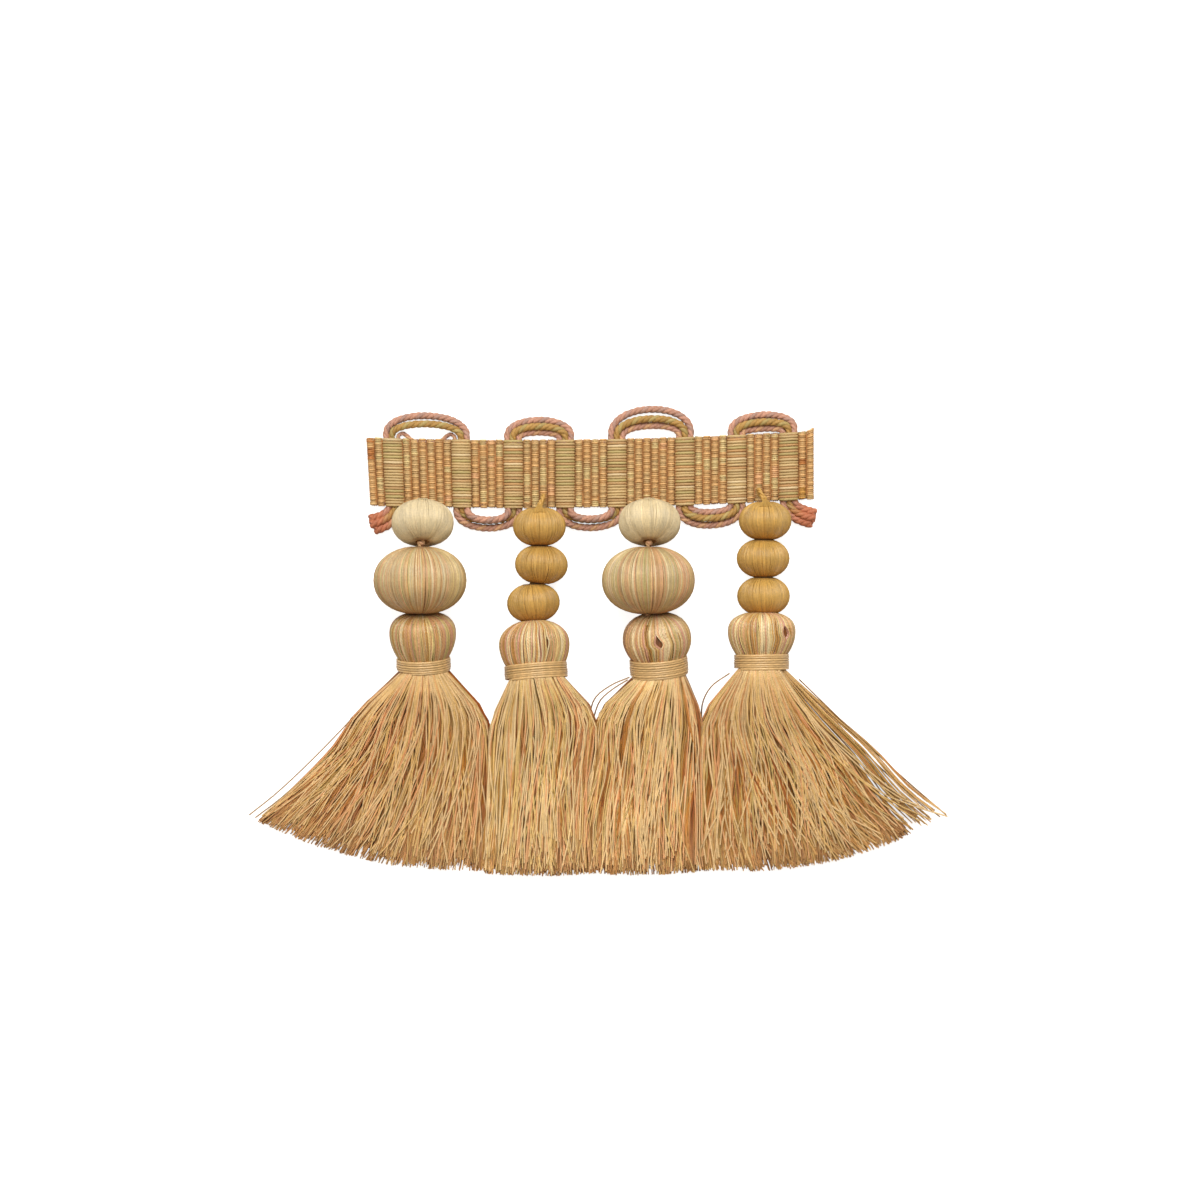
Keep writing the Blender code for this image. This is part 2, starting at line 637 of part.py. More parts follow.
def make_head_and_skirt(tassel, parent, chance):
    """The head, its neck and the locks that hang from it, one tied hank of yarn."""
    frame = axis_frame(tassel["head"])
    to_local = frame.inverted()
    grid = root_grid()
    rim = rim_order()
    angles = [math.atan2(grid[corner][1], grid[corner][0]) for corner in rim]
    bm = bmesh.new()
    profile = head_profile(tassel)
    rings = turned_rings(bm, profile, angles)
    join_rings(bm, rings)
    bm.faces.new(rings[0])
    flare, root_height = profile[-1]
    root = dict(zip(rim, rings[-1]))
    for corner, (across, up) in grid.items():
        if corner not in root:
            root[corner] = bm.verts.new((flare * across, root_height, flare * up))
    for vert in bm.verts:
        world = frame @ vert.co
        world.z = max(world.z, 0.0)
        vert.co = to_local @ world
    for cell in lock_cells():
        add_lock(bm, tassel, cell, root, to_local, UNEVEN * chance.random())
    add_mesh_object(f"{tassel['name']}_head_and_skirt", bm, HEAD_COLOUR, frame, parent)


def make_binding(tassel, parent):
    """The wrapped binding round the neck."""
    outer = tassel["binding"]["radius"] * MM
    height = tassel["binding"]["height"] * MM
    top = -tassel["head"]["bottom"] * MM - GAP
    inner = outer - BINDING_WALL
    edge = outer - BINDING_CROWN
    profile = [(inner, top), (edge, top), (outer, top - height / 2), (edge, top - height), (inner, top - height)]
    bm = bmesh.new()
    join_rings(bm, turned_rings(bm, profile, even_angles(BINDING_ROUND)), closed=True)
    name = f"{tassel['name']}_binding"
    add_mesh_object(name, bm, BINDING_COLOUR, axis_frame(tassel["head"]), parent)


def make_tassel(tassel, chance):
    hanger = bpy.data.objects.new(tassel["name"], None)
    hanger.location = (*stitch_place(tassel), 0)
    bpy.context.scene.collection.objects.link(hanger)
    make_string(tassel, hanger)
    for bead in tassel["beads"]:
        make_bead(tassel, bead, hanger)
    make_head_and_skirt(tassel, hanger, chance)
    make_binding(tassel, hanger)


def main():
    for obj in list(bpy.data.objects):
        bpy.data.objects.remove(obj, do_unlink=True)
    chance = random.Random(4)
    make_heading()
    for cord in CORDS:
        make_gimp(cord)
    for tassel in TASSELS:
        make_tassel(tassel, chance)


main()
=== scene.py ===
# A short length of bead tassel fringe, laid on its back and seen from straight above.
# Metres: X runs along the heading, +Y points to its upper scallops, +Z out of its face.
import math

import bpy
import numpy as np
from mathutils import Matrix, Vector


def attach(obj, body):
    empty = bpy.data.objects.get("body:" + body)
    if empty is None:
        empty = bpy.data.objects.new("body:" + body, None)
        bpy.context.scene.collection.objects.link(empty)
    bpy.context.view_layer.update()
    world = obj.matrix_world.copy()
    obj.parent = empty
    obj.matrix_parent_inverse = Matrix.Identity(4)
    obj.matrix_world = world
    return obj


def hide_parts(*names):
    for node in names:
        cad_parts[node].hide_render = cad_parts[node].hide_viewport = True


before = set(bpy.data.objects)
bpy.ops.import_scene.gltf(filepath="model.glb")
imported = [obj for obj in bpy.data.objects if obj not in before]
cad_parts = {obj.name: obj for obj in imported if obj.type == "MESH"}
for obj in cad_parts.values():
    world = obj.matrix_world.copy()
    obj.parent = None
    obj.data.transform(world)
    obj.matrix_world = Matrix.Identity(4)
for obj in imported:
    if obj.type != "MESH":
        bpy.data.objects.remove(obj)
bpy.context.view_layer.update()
mm = 0.001
dice = np.random.default_rng(17)


def shade(red, green, blue):
    # a colour as read off a screen, made linear for the shaders
    return [c / 12.92 if c <= 0.04045 else ((c + 0.055) / 1.055) ** 2.4 for c in (red / 255, green / 255, blue / 255)]


def mix(start, end, share):
    return start + (end - start) * share


yarnShades = {
    "cream": shade(240, 220, 178), "straw": shade(232, 206, 144), "gold": shade(224, 178, 98),
    "ochre": shade(206, 156, 84), "peach": shade(232, 182, 138), "rose": shade(214, 162, 138),
    "tan": shade(222, 178, 126), "sage": shade(206, 190, 132), "rust": shade(196, 130, 76),
    "wheat": shade(224, 198, 148), "fawn": shade(216, 180, 132),
    "coral": shade(202, 124, 90), "mauve": shade(196, 156, 140), "satin": shade(236, 218, 180),
    "olive": shade(204, 172, 104), "amber": shade(222, 178, 98), "honey": shade(214, 168, 88),
}


# the camera, then the floor and the lamps
cameraSetup = {"lens": 200, "sensor": 36, "frameWidth": 300 * mm, "middle": (2.25 * mm, -32.25 * mm), "level": 6 * mm}
reach = cameraSetup["frameWidth"] * cameraSetup["lens"] / cameraSetup["sensor"]
lensData = bpy.data.cameras.new("overheadCamera")
lensData.lens = cameraSetup["lens"]
lensData.sensor_width = cameraSetup["sensor"]
lensData.clip_end = 20
overheadCamera = bpy.data.objects.new("overheadCamera", lensData)
overheadCamera.location = (*cameraSetup["middle"], cameraSetup["level"] + reach)
bpy.context.scene.collection.objects.link(overheadCamera)
bpy.context.scene.camera = overheadCamera

stageSetup = {"floorSize": 6.0, "floorShade": (0.7, 0.7, 0.7, 1), "floorRoughness": 0.9, "floorGlow": 0.8,
              "skyShade": (1, 0.88, 0.72, 1), "skyStrength": 0.46}
bpy.ops.object.select_all(action="DESELECT")
bpy.ops.mesh.primitive_plane_add(size=stageSetup["floorSize"], location=(0, 0, 0))
floor = bpy.context.object
floor.name = "paleFloor"
floorPaint = bpy.data.materials.new("palePaper")
floorPaint.use_nodes = True
floorShader = floorPaint.node_tree.nodes["Principled BSDF"]
floorShader.inputs["Base Color"].default_value = stageSetup["floorShade"]
floorShader.inputs["Roughness"].default_value = stageSetup["floorRoughness"]
floorShader.inputs["Emission Strength"].default_value = stageSetup["floorGlow"]
# the glow shows to the camera alone and lights nothing
seenFloor = floorPaint.node_tree.nodes.new("ShaderNodeLightPath")
floorPaint.node_tree.links.new(seenFloor.outputs["Is Camera Ray"], floorShader.inputs["Emission Color"])
floor.data.materials.append(floorPaint)

bpy.context.scene.view_settings.view_transform = "Standard"
sky = bpy.data.worlds.new("softSky")
bpy.context.scene.world = sky
sky.use_nodes = True
skyShader = sky.node_tree.nodes["Background"]
skyShader.inputs["Color"].default_value = stageSetup["skyShade"]
skyShader.inputs["Strength"].default_value = stageSetup["skyStrength"]

lamps = (
    {"name": "windowLamp", "at": (0.05, 0.8, 1.1), "size": 1.1, "power": 20.5, "tint": (1, 0.985, 0.96)},
    {"name": "fillLamp", "at": (-0.5, -0.1, 1.3), "size": 1.0, "power": 2.0, "tint": (1, 0.95, 0.88)},
)
for lamp in lamps:
    lampData = bpy.data.lights.new(lamp["name"], "AREA")
    lampData.size = lamp["size"]
    lampData.energy = lamp["power"]
    lampData.color = lamp["tint"]
    lampObject = bpy.data.objects.new(lamp["name"], lampData)
    lampObject.location = lamp["at"]
    lampObject.rotation_euler = (-Vector(lamp["at"])).to_track_quat("-Z", "Y").to_euler()
    bpy.context.scene.collection.objects.link(lampObject)
print("camera, floor and lamps are set")


def addNode(tree, kind, at, inputs=None, **settings):
    # inputs: values by the socket's name or number
    node = tree.nodes.new(kind)
    node.location = at
    for name, value in settings.items():
        setattr(node, name, value)
    for socket, value in (inputs or {}).items():
        node.inputs[socket].default_value = value
    return node


def wire(tree, *links):
    # each link: a node and its output, then the node and input that it feeds
    for source, output, target, socket in links:
        tree.links.new(source.outputs[output], target.inputs[socket])


def newGroup(name, inputs, result):
    tree = bpy.data.node_groups.new(name, "ShaderNodeTree")
    for socketName, value in inputs.items():
        socket = tree.interface.new_socket(socketName, in_out="INPUT", socket_type="NodeSocketFloat")
        socket.default_value = value
    tree.interface.new_socket(result, in_out="OUTPUT", socket_type="NodeSocketFloat")
    return tree, addNode(tree, "NodeGroupInput", (-900, 0)), addNode(tree, "NodeGroupOutput", (600, 0))


def buildTwistGroup():
    # the lay of a yarn's fibres: slanting ridges that climb along it and round it
    tree, start, end = newGroup("yarnTwist", {"Turn": 2.0, "Plies": 2.0}, "Ridge")
    run = addNode(tree, "ShaderNodeAttribute", (-900, 250), attribute_name="along")
    side = addNode(tree, "ShaderNodeAttribute", (-900, -250), attribute_name="around")
    apart = addNode(tree, "ShaderNodeSeparateXYZ", (-700, -250))
    angle = addNode(tree, "ShaderNodeMath", (-520, -250), operation="ARCTAN2")
    # the run is in metres and a turn in mm
    turns = addNode(tree, "ShaderNodeMath", (-520, 250), operation="DIVIDE")
    radians = addNode(tree, "ShaderNodeMath", (-340, 250), {1: 2 * math.pi * 1000}, operation="MULTIPLY")
    both = addNode(tree, "ShaderNodeMath", (-160, 100), operation="ADD")
    strands = addNode(tree, "ShaderNodeMath", (20, 100), operation="MULTIPLY")
    wave = addNode(tree, "ShaderNodeMath", (200, 100), operation="SINE")
    share = addNode(tree, "ShaderNodeMath", (380, 100), {1: 0.5, 2: 0.5}, operation="MULTIPLY_ADD")
    wire(tree, (side, "Vector", apart, 0), (apart, "Y", angle, 0), (apart, "X", angle, 1), (run, "Fac", turns, 0),
         (start, "Turn", turns, 1), (turns, 0, radians, 0), (radians, 0, both, 0), (angle, 0, both, 1),
         (both, 0, strands, 0), (start, "Plies", strands, 1), (strands, 0, wave, 0), (wave, 0, share, 0),
         (share, 0, end, "Ridge"))
    return tree


def buildFleckGroup():
    # light and dark flecks of the fibre, fine and coarse
    tree, start, end = newGroup("fibreFleck", {"Size": 400.0, "Coarse": 60.0}, "Fleck")
    where = addNode(tree, "ShaderNodeTexCoord", (-900, 300))
    fine = addNode(tree, "ShaderNodeTexNoise", (-500, 200), {"Detail": 2.0})
    coarse = addNode(tree, "ShaderNodeTexNoise", (-500, -150), {"Detail": 1.0})
    blend = addNode(tree, "ShaderNodeMath", (-200, 0), {1: 0.55}, operation="MULTIPLY_ADD")
    half = addNode(tree, "ShaderNodeMath", (-200, -250), {1: 0.45}, operation="MULTIPLY")
    wire(tree, (where, "Object", fine, "Vector"), (where, "Object", coarse, "Vector"), (start, "Size", fine, "Scale"),
         (start, "Coarse", coarse, "Scale"), (coarse, "Fac", half, 0), (fine, "Fac", blend, 0), (half, 0, blend, 2),
         (blend, 0, end, "Fleck"))
    return tree


def buildStreakGroup():
    # packed yarn: fine streaks down the tassels, and dots where it is cut across
    tree, start, end = newGroup("packedStreak", {"Size": 2200.0}, "Streak")
    where = addNode(tree, "ShaderNodeTexCoord", (-900, 300))
    drawn = addNode(tree, "ShaderNodeVectorMath", (-700, 300), {1: (1, 0.05, 1)}, operation="MULTIPLY")
    grain = addNode(tree, "ShaderNodeTexNoise", (-450, 200), {"Detail": 1.0})
    spread = addNode(tree, "ShaderNodeMapRange", (-150, 100), {"From Min": 0.32, "From Max": 0.68})
    wire(tree, (where, "Object", drawn, 0), (drawn, "Vector", grain, "Vector"), (start, "Size", grain, "Scale"),
         (grain, "Fac", spread, "Value"), (spread, "Result", end, "Streak"))
    return tree


twistGroup = buildTwistGroup()
fleckGroup = buildFleckGroup()
streakGroup = buildStreakGroup()


def startFinish(name):
    # a material whose base is the strand's own colour, to be scaled by a tone
    material = bpy.data.materials.new(name)
    material.use_nodes = True
    tree = material.node_tree
    shader = tree.nodes["Principled BSDF"]
    colour = addNode(tree, "ShaderNodeAttribute", (-900, 300), attribute_name="yarnColour")
    painted = addNode(tree, "ShaderNodeVectorMath", (-250, 200), operation="SCALE")
    wire(tree, (colour, "Color", painted, 0), (painted, "Vector", shader, "Base Color"))
    return material, tree, shader, painted


def addBump(tree, shader, relief, output, strength, depth):
    bump = addNode(tree, "ShaderNodeBump", (-250, -250), {"Strength": strength, "Distance": depth * mm})
    wire(tree, (relief, output, bump, "Height"), (bump, "Normal", shader, "Normal"))


def yarnFinish(name, turn, plies, depth, gloss, fleckRange, fleckSize=1500, fleckCoarse=160, plyGrooveShadow=0.86,
               shine=0.38):
    # viscose yarn: each strand's own colour, with painted shade between its plies, and a satin gloss
    material, tree, shader, painted = startFinish(name)
    twist = addNode(tree, "ShaderNodeGroup", (-900, 50), {"Turn": turn, "Plies": plies}, node_tree=twistGroup)
    fleck = addNode(tree, "ShaderNodeGroup", (-900, -200), {"Size": fleckSize, "Coarse": fleckCoarse},
                    node_tree=fleckGroup)
    # painted shade: the strand's colour is darkened in the grooves between its plies
    plyGrooveShadowTone = addNode(tree, "ShaderNodeMapRange", (-650, 50), {"To Min": plyGrooveShadow})
    fleckTone = addNode(tree, "ShaderNodeMapRange", (-650, -200),
                        {"From Min": 0.3, "From Max": 0.7, "To Min": fleckRange[0], "To Max": fleckRange[1]})
    tones = addNode(tree, "ShaderNodeMath", (-450, -50), operation="MULTIPLY")
    rough = addNode(tree, "ShaderNodeMapRange", (-450, -300), {"To Min": gloss + 0.08, "To Max": gloss - 0.05})
    for socket, value in (("Sheen Weight", 0.04), ("Sheen Roughness", 0.4), ("Specular IOR Level", shine)):
        shader.inputs[socket].default_value = value
    wire(tree, (twist, "Ridge", plyGrooveShadowTone, "Value"), (fleck, "Fleck", fleckTone, "Value"),
         (plyGrooveShadowTone, "Result", tones, 0), (fleckTone, "Result", tones, 1), (tones, 0, painted, "Scale"),
         (fleck, "Fleck", rough, "Value"), (rough, "Result", shader, "Roughness"))
    addBump(tree, shader, twist, "Ridge", 0.8, depth)
    return material


def packedFinish(name, size, toneRange, gloss):
    # yarn packed inside a piece, seen between its strands and at its sides
    material, tree, shader, painted = startFinish(name)
    streak = addNode(tree, "ShaderNodeGroup", (-900, 50), {"Size": size}, node_tree=streakGroup)
    tone = addNode(tree, "ShaderNodeMapRange", (-650, 50), {"To Min": toneRange[0], "To Max": toneRange[1]})
    shader.inputs["Roughness"].default_value = gloss
    wire(tree, (streak, "Streak", tone, "Value"), (tone, "Result", painted, "Scale"))
    addBump(tree, shader, streak, "Streak", 0.9, 0.15)
    return material


finishes = {
    "skirtYarn": yarnFinish("skirtYarn", 1.1, 2, 0.05, 0.36, (0.8, 1.16), plyGrooveShadow=0.84, shine=0.45),
    "headYarn": yarnFinish("headYarn", 1.6, 2, 0.04, 0.28, (0.8, 1.14), plyGrooveShadow=0.84, shine=0.7),
    "beadThread": yarnFinish("beadThread", 3.0, 1, 0.012, 0.34, (0.8, 1.12), 2400, 300, plyGrooveShadow=0.92, shine=0.75),
    "bindingThread": yarnFinish("bindingThread", 2.4, 1, 0.02, 0.32, (0.88, 1.1), shine=0.65),
    "weftYarn": yarnFinish("weftYarn", 1.8, 2, 0.04, 0.5, (0.88, 1.06), plyGrooveShadow=0.92),
    "gimpYarn": yarnFinish("gimpYarn", 1.5, 4, 0.05, 0.5, (0.84, 1.14), plyGrooveShadow=0.78),
    "hangerYarn": yarnFinish("hangerYarn", 1.5, 2, 0.06, 0.5, (0.88, 1.06)),
    "packedYarn": packedFinish("packedYarn", 2200, (0.5, 1.3), 0.6),
}


def buildSpinner():
    # yarn is chains of points with a girth and a colour, swept into round strands
    tree = bpy.data.node_groups.new("yarnSpinner", "GeometryNodeTree")
    tree.interface.new_socket("Chains", in_out="INPUT", socket_type="NodeSocketGeometry")
    sidesSocket = tree.interface.new_socket("Sides", in_out="INPUT", socket_type="NodeSocketInt")
    tree.interface.new_socket("Yarn", in_out="OUTPUT", socket_type="NodeSocketGeometry")
    start = addNode(tree, "NodeGroupInput", (-600, 0))
    curves = addNode(tree, "GeometryNodeMeshToCurve", (-400, 100))
    ring = addNode(tree, "GeometryNodeCurvePrimitiveCircle", (-400, -150), {"Radius": 1.0})
    corner = addNode(tree, "GeometryNodeInputPosition", (-400, -350))
    around = addNode(tree, "GeometryNodeStoreNamedAttribute", (-200, -150), {"Name": "around"},
                     data_type="FLOAT_VECTOR", domain="POINT")
    girth = addNode(tree, "GeometryNodeInputNamedAttribute", (-200, -400), {"Name": "girth"}, data_type="FLOAT")
    sweep = addNode(tree, "GeometryNodeCurveToMesh", (50, 50), {"Fill Caps": True})
    smooth = addNode(tree, "GeometryNodeSetShadeSmooth", (250, 50))
    end = addNode(tree, "NodeGroupOutput", (450, 50))
    wire(tree, (start, "Chains", curves, "Mesh"), (start, "Sides", ring, "Resolution"),
         (ring, "Curve", around, "Geometry"), (corner, "Position", around, "Value"),
         (curves, "Curve", sweep, "Curve"), (around, "Geometry", sweep, "Profile Curve"),
         (girth, "Attribute", sweep, "Scale"), (sweep, "Mesh", smooth, "Geometry"), (smooth, "Geometry", end, "Yarn"))
    return tree, sidesSocket.identifier


spinner, sidesKey = buildSpinner()


def paintPoints(mesh, colours):
    # one colour for all of the points, or one for each
    rgba = np.ones((len(mesh.vertices), 4), np.float32)
    rgba[:, :3] = colours
    mesh.attributes.new("yarnColour", "FLOAT_COLOR", "POINT").data.foreach_set("color", rgba.ravel())


def finishCore(core, colour):
    paintPoints(core.data, colour)
    core.data.shade_smooth()
    core.data.materials.append(finishes["packedYarn"])
    return core


def drawnGrid(name, places, columns, rows, drop, level):
    # a grid drawn to the given places row by row, with walls down to a flat underside
    bpy.ops.object.select_all(action="DESELECT")
    bpy.ops.mesh.primitive_grid_add(x_subdivisions=columns - 1, y_subdivisions=rows - 1, size=1)
    grid = bpy.context.object
    grid.name = name
    grid.data.vertices.foreach_set("co", np.asarray(places, np.float32).ravel())
    bpy.ops.object.mode_set(mode="EDIT")
    bpy.ops.mesh.select_all(action="SELECT")
    bpy.ops.mesh.extrude_region_move(TRANSFORM_OT_translate={"value": (0, 0, -drop)})
    bpy.ops.transform.resize(value=(1, 1, 0), center_override=(0, 0, level))
    bpy.ops.mesh.select_all(action="SELECT")
    bpy.ops.mesh.normals_make_consistent(inside=False)
    bpy.ops.object.mode_set(mode="OBJECT")
    return grid


def spinYarns(name, batches, sides, finish):
    # batches: (points of strands x steps, girths, colours), each spun into strands of one object
    points, girths, colours, runs, edges = [], [], [], [], []
    first = 0
    for path, girth, colour in batches:
        path = np.asarray(path, float)
        strands, steps = path.shape[:2]
        colour = np.asarray(colour, float)
        if colour.ndim == 1:
            colour = np.broadcast_to(colour, (strands, 3))
        if colour.ndim == 2:
            colour = np.broadcast_to(colour[:, None], (strands, steps, 3))
        strides = np.linalg.norm(np.diff(path, axis=1), axis=2)
        run = np.concatenate([np.zeros((strands, 1)), np.cumsum(strides, axis=1)], axis=1)
        run += dice.random((strands, 1)) * 0.01
        index = first + np.arange(strands * steps).reshape(strands, steps)
        edges.append(np.stack([index[:, :-1], index[:, 1:]], axis=2).reshape(-1, 2))
        points.append(path.reshape(-1, 3))
        girths.append(np.broadcast_to(girth, (strands, steps)).reshape(-1))
        colours.append(colour.reshape(-1, 3))
        runs.append(run.reshape(-1))
        first += strands * steps
    points, edges = np.concatenate(points), np.concatenate(edges)
    mesh = bpy.data.meshes.new(name)
    mesh.vertices.add(len(points))
    mesh.edges.add(len(edges))
    mesh.vertices.foreach_set("co", points.astype(np.float32).ravel())
    mesh.edges.foreach_set("vertices", edges.astype(np.int32).ravel())
    for attribute, values in (("girth", girths), ("along", runs)):
        layer = mesh.attributes.new(attribute, "FLOAT", "POINT")
        layer.data.foreach_set("value", np.concatenate(values).astype(np.float32))
    paintPoints(mesh, np.concatenate(colours))
    obj = bpy.data.objects.new(name, mesh)
    bpy.context.scene.collection.objects.link(obj)
    spin = obj.modifiers.new("spin", "NODES")
    spin.node_group = spinner
    spin[sidesKey] = sides
    bpy.context.view_layer.objects.active = obj
    bpy.ops.object.modifier_apply(modifier="spin")
    obj.data.materials.clear()
    obj.data.materials.append(finishes[finish])
    return obj


def throughPoints(controls, shares):
    # smooth paths through each strand's own control points, at shares of 0 to 1
    controls = np.asarray(controls, float)
    before = 2 * controls[:, :1] - controls[:, 1:2]
    after = 2 * controls[:, -1:] - controls[:, -2:-1]
    padded = np.concatenate([before, controls, after], axis=1)
    place = np.clip(np.broadcast_to(shares, (len(controls), np.shape(shares)[-1])), 0, 0.99999)
    place = place * (controls.shape[1] - 1)
    index = place.astype(int)
    local = (place - index)[..., None]
    rows = np.arange(len(controls))[:, None]
    a, b, c, d = (padded[rows, index + step] for step in range(4))
    return 0.5 * (2 * b + (c - a) * local + (2 * a - 5 * b + 4 * c - d) * local ** 2
                  + (3 * b - a - 3 * c + d) * local ** 3)


def layPlies(path, girths, plies, turn, seat, fat):
    # the plies of a twisted cord, laid round its path to the right
    tangent = np.gradient(path, axis=0)
    tangent /= np.linalg.norm(tangent, axis=1)[:, None]
    side = np.cross(tangent, (0, 0, 1.0))
    side /= np.maximum(np.linalg.norm(side, axis=1)[:, None], 1e-6)
    up = np.cross(side, tangent)
    run = np.concatenate([[0], np.cumsum(np.linalg.norm(np.diff(path, axis=0), axis=1))])
    laid = []
    for ply in range(plies):
        angle = 2 * math.pi * (run / turn + ply / plies)
        reachOut = (girths * seat)[:, None]
        laid.append(path + reachOut * (np.cos(angle)[:, None] * side + np.sin(angle)[:, None] * up))
    return np.array(laid), np.broadcast_to(girths * fat, (plies, len(path)))


def pickShades(names, weights, count, runLength, dye):
    # a colour for each strand, in runs of neighbours that share one
    weights = np.array(weights, float) / sum(weights)
    picks = []
    while len(picks) < count:
        picks += [dice.choice(len(names), p=weights)] * int(dice.integers(1, runLength + 1))
    table = np.array([yarnShades[name] for name in names])
    return table[picks[:count]] * dice.uniform(0.93, 1.05, (count, 1)) * dye


def finishPiece(obj, node):
    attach(obj, "root")
    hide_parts(node)


# the heading: a ribbed base cloth, and the weft that goes over its ribs
heading = {
    "narrow": 2.03 * mm, "wide": 4.86 * mm, "groups": (2, 6, 4, 4, 4, 6, 4, 4, 2), "half": 8.65 * mm,
    "narrowCrest": 2.5 * mm, "wideCrest": 3.0 * mm, "groove": 1.35 * mm,
    "bowLowX": -18 * mm, "bowLowY": -0.6 * mm, "bowCurve": 0.417, "endLean": 0.5 * mm,
    "pitch": 1.43 * mm, "weftGirth": 0.27 * mm, "wideGirth": 0.37 * mm,
    "narrowDye": (1.0, 1.02, 0.94), "wideDye": (0.84, 0.8, 0.74), "wideDark": (0.82, 0.78, 0.7),
    "ribGrooveShadow": (0.6, 0.46, 0.33), "endLift": 1.1 * mm, "endFrom": 53.5 * mm, "endOver": 2.5 * mm,
    "wideSteps": (0.0, 0.08, 0.16, 0.3, 0.5, 0.7, 0.84, 0.92), "narrowSteps": (0.0, 0.18, 0.36, 0.5, 0.64, 0.82),
    "clothShade": shade(172, 118, 66), "pickStep": 0.46 * mm,
}
ribs = []
left = 0.0
for group, count in enumerate(heading["groups"]):
    for rib in range(count):
        ribs.append({"left": left, "width": heading["narrow"], "wide": False})
        left += heading["narrow"]
    if group < len(heading["groups"]) - 1:
        ribs.append({"left": left, "width": heading["wide"], "wide": True})
        left += heading["wide"]
headingLength = left
for rib in ribs:
    rib["left"] -= headingLength / 2
channels = [rib["left"] + rib["width"] / 2 for rib in ribs if rib["wide"]]


def onTape(along, across):
    lean = heading["endLean"] * np.maximum(0.0, -2 * along / headingLength) ** 2
    x = along - lean * across / heading["half"]
    y = across + heading["bowLowY"] + heading["bowCurve"] * (along - heading["bowLowX"]) ** 2
    # the last rib's upper corner is drawn up
    lift = np.clip((along - heading["endFrom"]) / heading["endOver"], 0, 1) ** 2
    return x, y + heading["endLift"] * lift * np.maximum(0.0, across / heading["half"]) ** 2


def makeHeadingCloth():
    # a grid drawn to the heading's outline, raised into ribs and closed below
    columns = []
    for rib in ribs:
        crest = (heading["wideCrest"] if rib["wide"] else heading["narrowCrest"]) - 0.55 * mm
        for share in heading["wideSteps"] if rib["wide"] else heading["narrowSteps"]:
            rise = math.sin(math.pi * share) ** (0.3 if rib["wide"] else 0.8)
            columns.append((rib["left"] + rib["width"] * share, mix(heading["groove"], crest, rise)))
    columns.append((headingLength / 2, heading["groove"]))
    rows = [-1, -0.985, -0.96, -0.93] + list(np.linspace(-0.86, 0.86, 7)) + [0.93, 0.96, 0.985, 1]
    places = []
    inset = 0.25 * mm
    for row in rows:
        fall = math.sqrt(max(0.0, 1 - (max(0.0, abs(row) - 0.93) / 0.07) ** 2))
        for along, height in columns:
            x, y = onTape(along * (1 - 2 * inset / headingLength), row * (heading["half"] - inset))
            places.append((x, y, mix(0.3 * mm, height, fall)))
    cloth = drawnGrid("headingCloth", places, len(columns), len(rows), heading["groove"], 0.02 * mm)
    return finishCore(cloth, heading["clothShade"])


def ribWeft(number, rib):
    # the weft over one rib: three picks to a bead on a narrow rib, pale and dark bands on a wide one
    half, pitch = heading["half"], heading["pitch"]
    last = len(ribs) - 1
    if rib["wide"]:
        shares = np.array([0.04, 0.08, 0.15, 0.32, 0.5, 0.68, 0.85, 0.92, 0.96])
        girth, crest, power = heading["wideGirth"], heading["wideCrest"], 0.25
        across = np.arange(-half + 0.3 * mm, half - 0.2 * mm, pitch / 2)
        dark = np.arange(len(across)) % 2 == number % 2
        sink = 0.09 * mm * dark
        pale = pickShades(("wheat", "sage", "cream"), (3, 3, 1.5), len(across), 2, heading["wideDye"])
        deep = pickShades(("wheat", "fawn", "tan"), (4, 2, 1), len(across), 2, heading["wideDark"])
        colours = np.where(dark[:, None], deep, pale)
    else:
        shares = np.array([0.13, 0.22, 0.37, 0.5, 0.63, 0.78, 0.87])
        girth, crest, power = heading["weftGirth"], heading["narrowCrest"], 0.75
        bumps = np.arange(-half + (0.5 + 0.72 * (number % 2)) * mm - pitch, half + pitch, pitch)
        across = np.sort(np.concatenate([bumps - heading["pickStep"], bumps, bumps + heading["pickStep"]]))
        across = across[(across > -half + 0.22 * mm) & (across < half - 0.22 * mm)]
        offset = np.abs((across - bumps[0] + pitch / 2) % pitch - pitch / 2)
        sink = 0.19 * mm * (offset / heading["pickStep"]) ** 2
        names, weights = ("tan", "fawn", "peach", "wheat"), (5, 4, 0.6, 1.5)
        if number in (0, last - 1, last):
            names, weights = ("rust", "ochre", "tan", "fawn"), (1, 1, 4, 2)
        colours = pickShades(names, weights, len(across) // 3 + 1, 2, heading["narrowDye"])
        colours = np.repeat(colours, 3, axis=0)[:len(across)]
        # painted light and shade: each bead of weft is painted palest in its middle, on its crest, and darker towards
        # the dips beside it
        colours = colours * mix(1.06, 0.86, (offset / heading["pickStep"]) ** 2)[:, None]
    rise = np.sin(math.pi * shares) ** power
    along = rib["left"] + rib["width"] * shares
    height = mix(1.15 * mm, crest - girth, rise)
    grid = np.repeat(across[:, None], len(shares), axis=1)
    grid = grid + dice.normal(0, 0.03 * mm, (len(across), 1)) + dice.normal(0, 0.02 * mm, grid.shape)
    x, y = onTape(along[None], grid)
    z = height[None] - sink[:, None] + dice.normal(0, 0.015 * mm, (len(across), 1))
    # painted shade: the weft is darkened where it dips down into the groove between ribs
    tone = np.clip(rise * 1.6 - 0.5, 0, 1)[None, :, None]
    tone = mix(np.array(heading["ribGrooveShadow"]), np.ones(3), tone)
    path = np.stack([x, y, z], axis=2)
    return path, girth * dice.uniform(0.95, 1.06, (len(across), 1)), colours[:, None] * tone


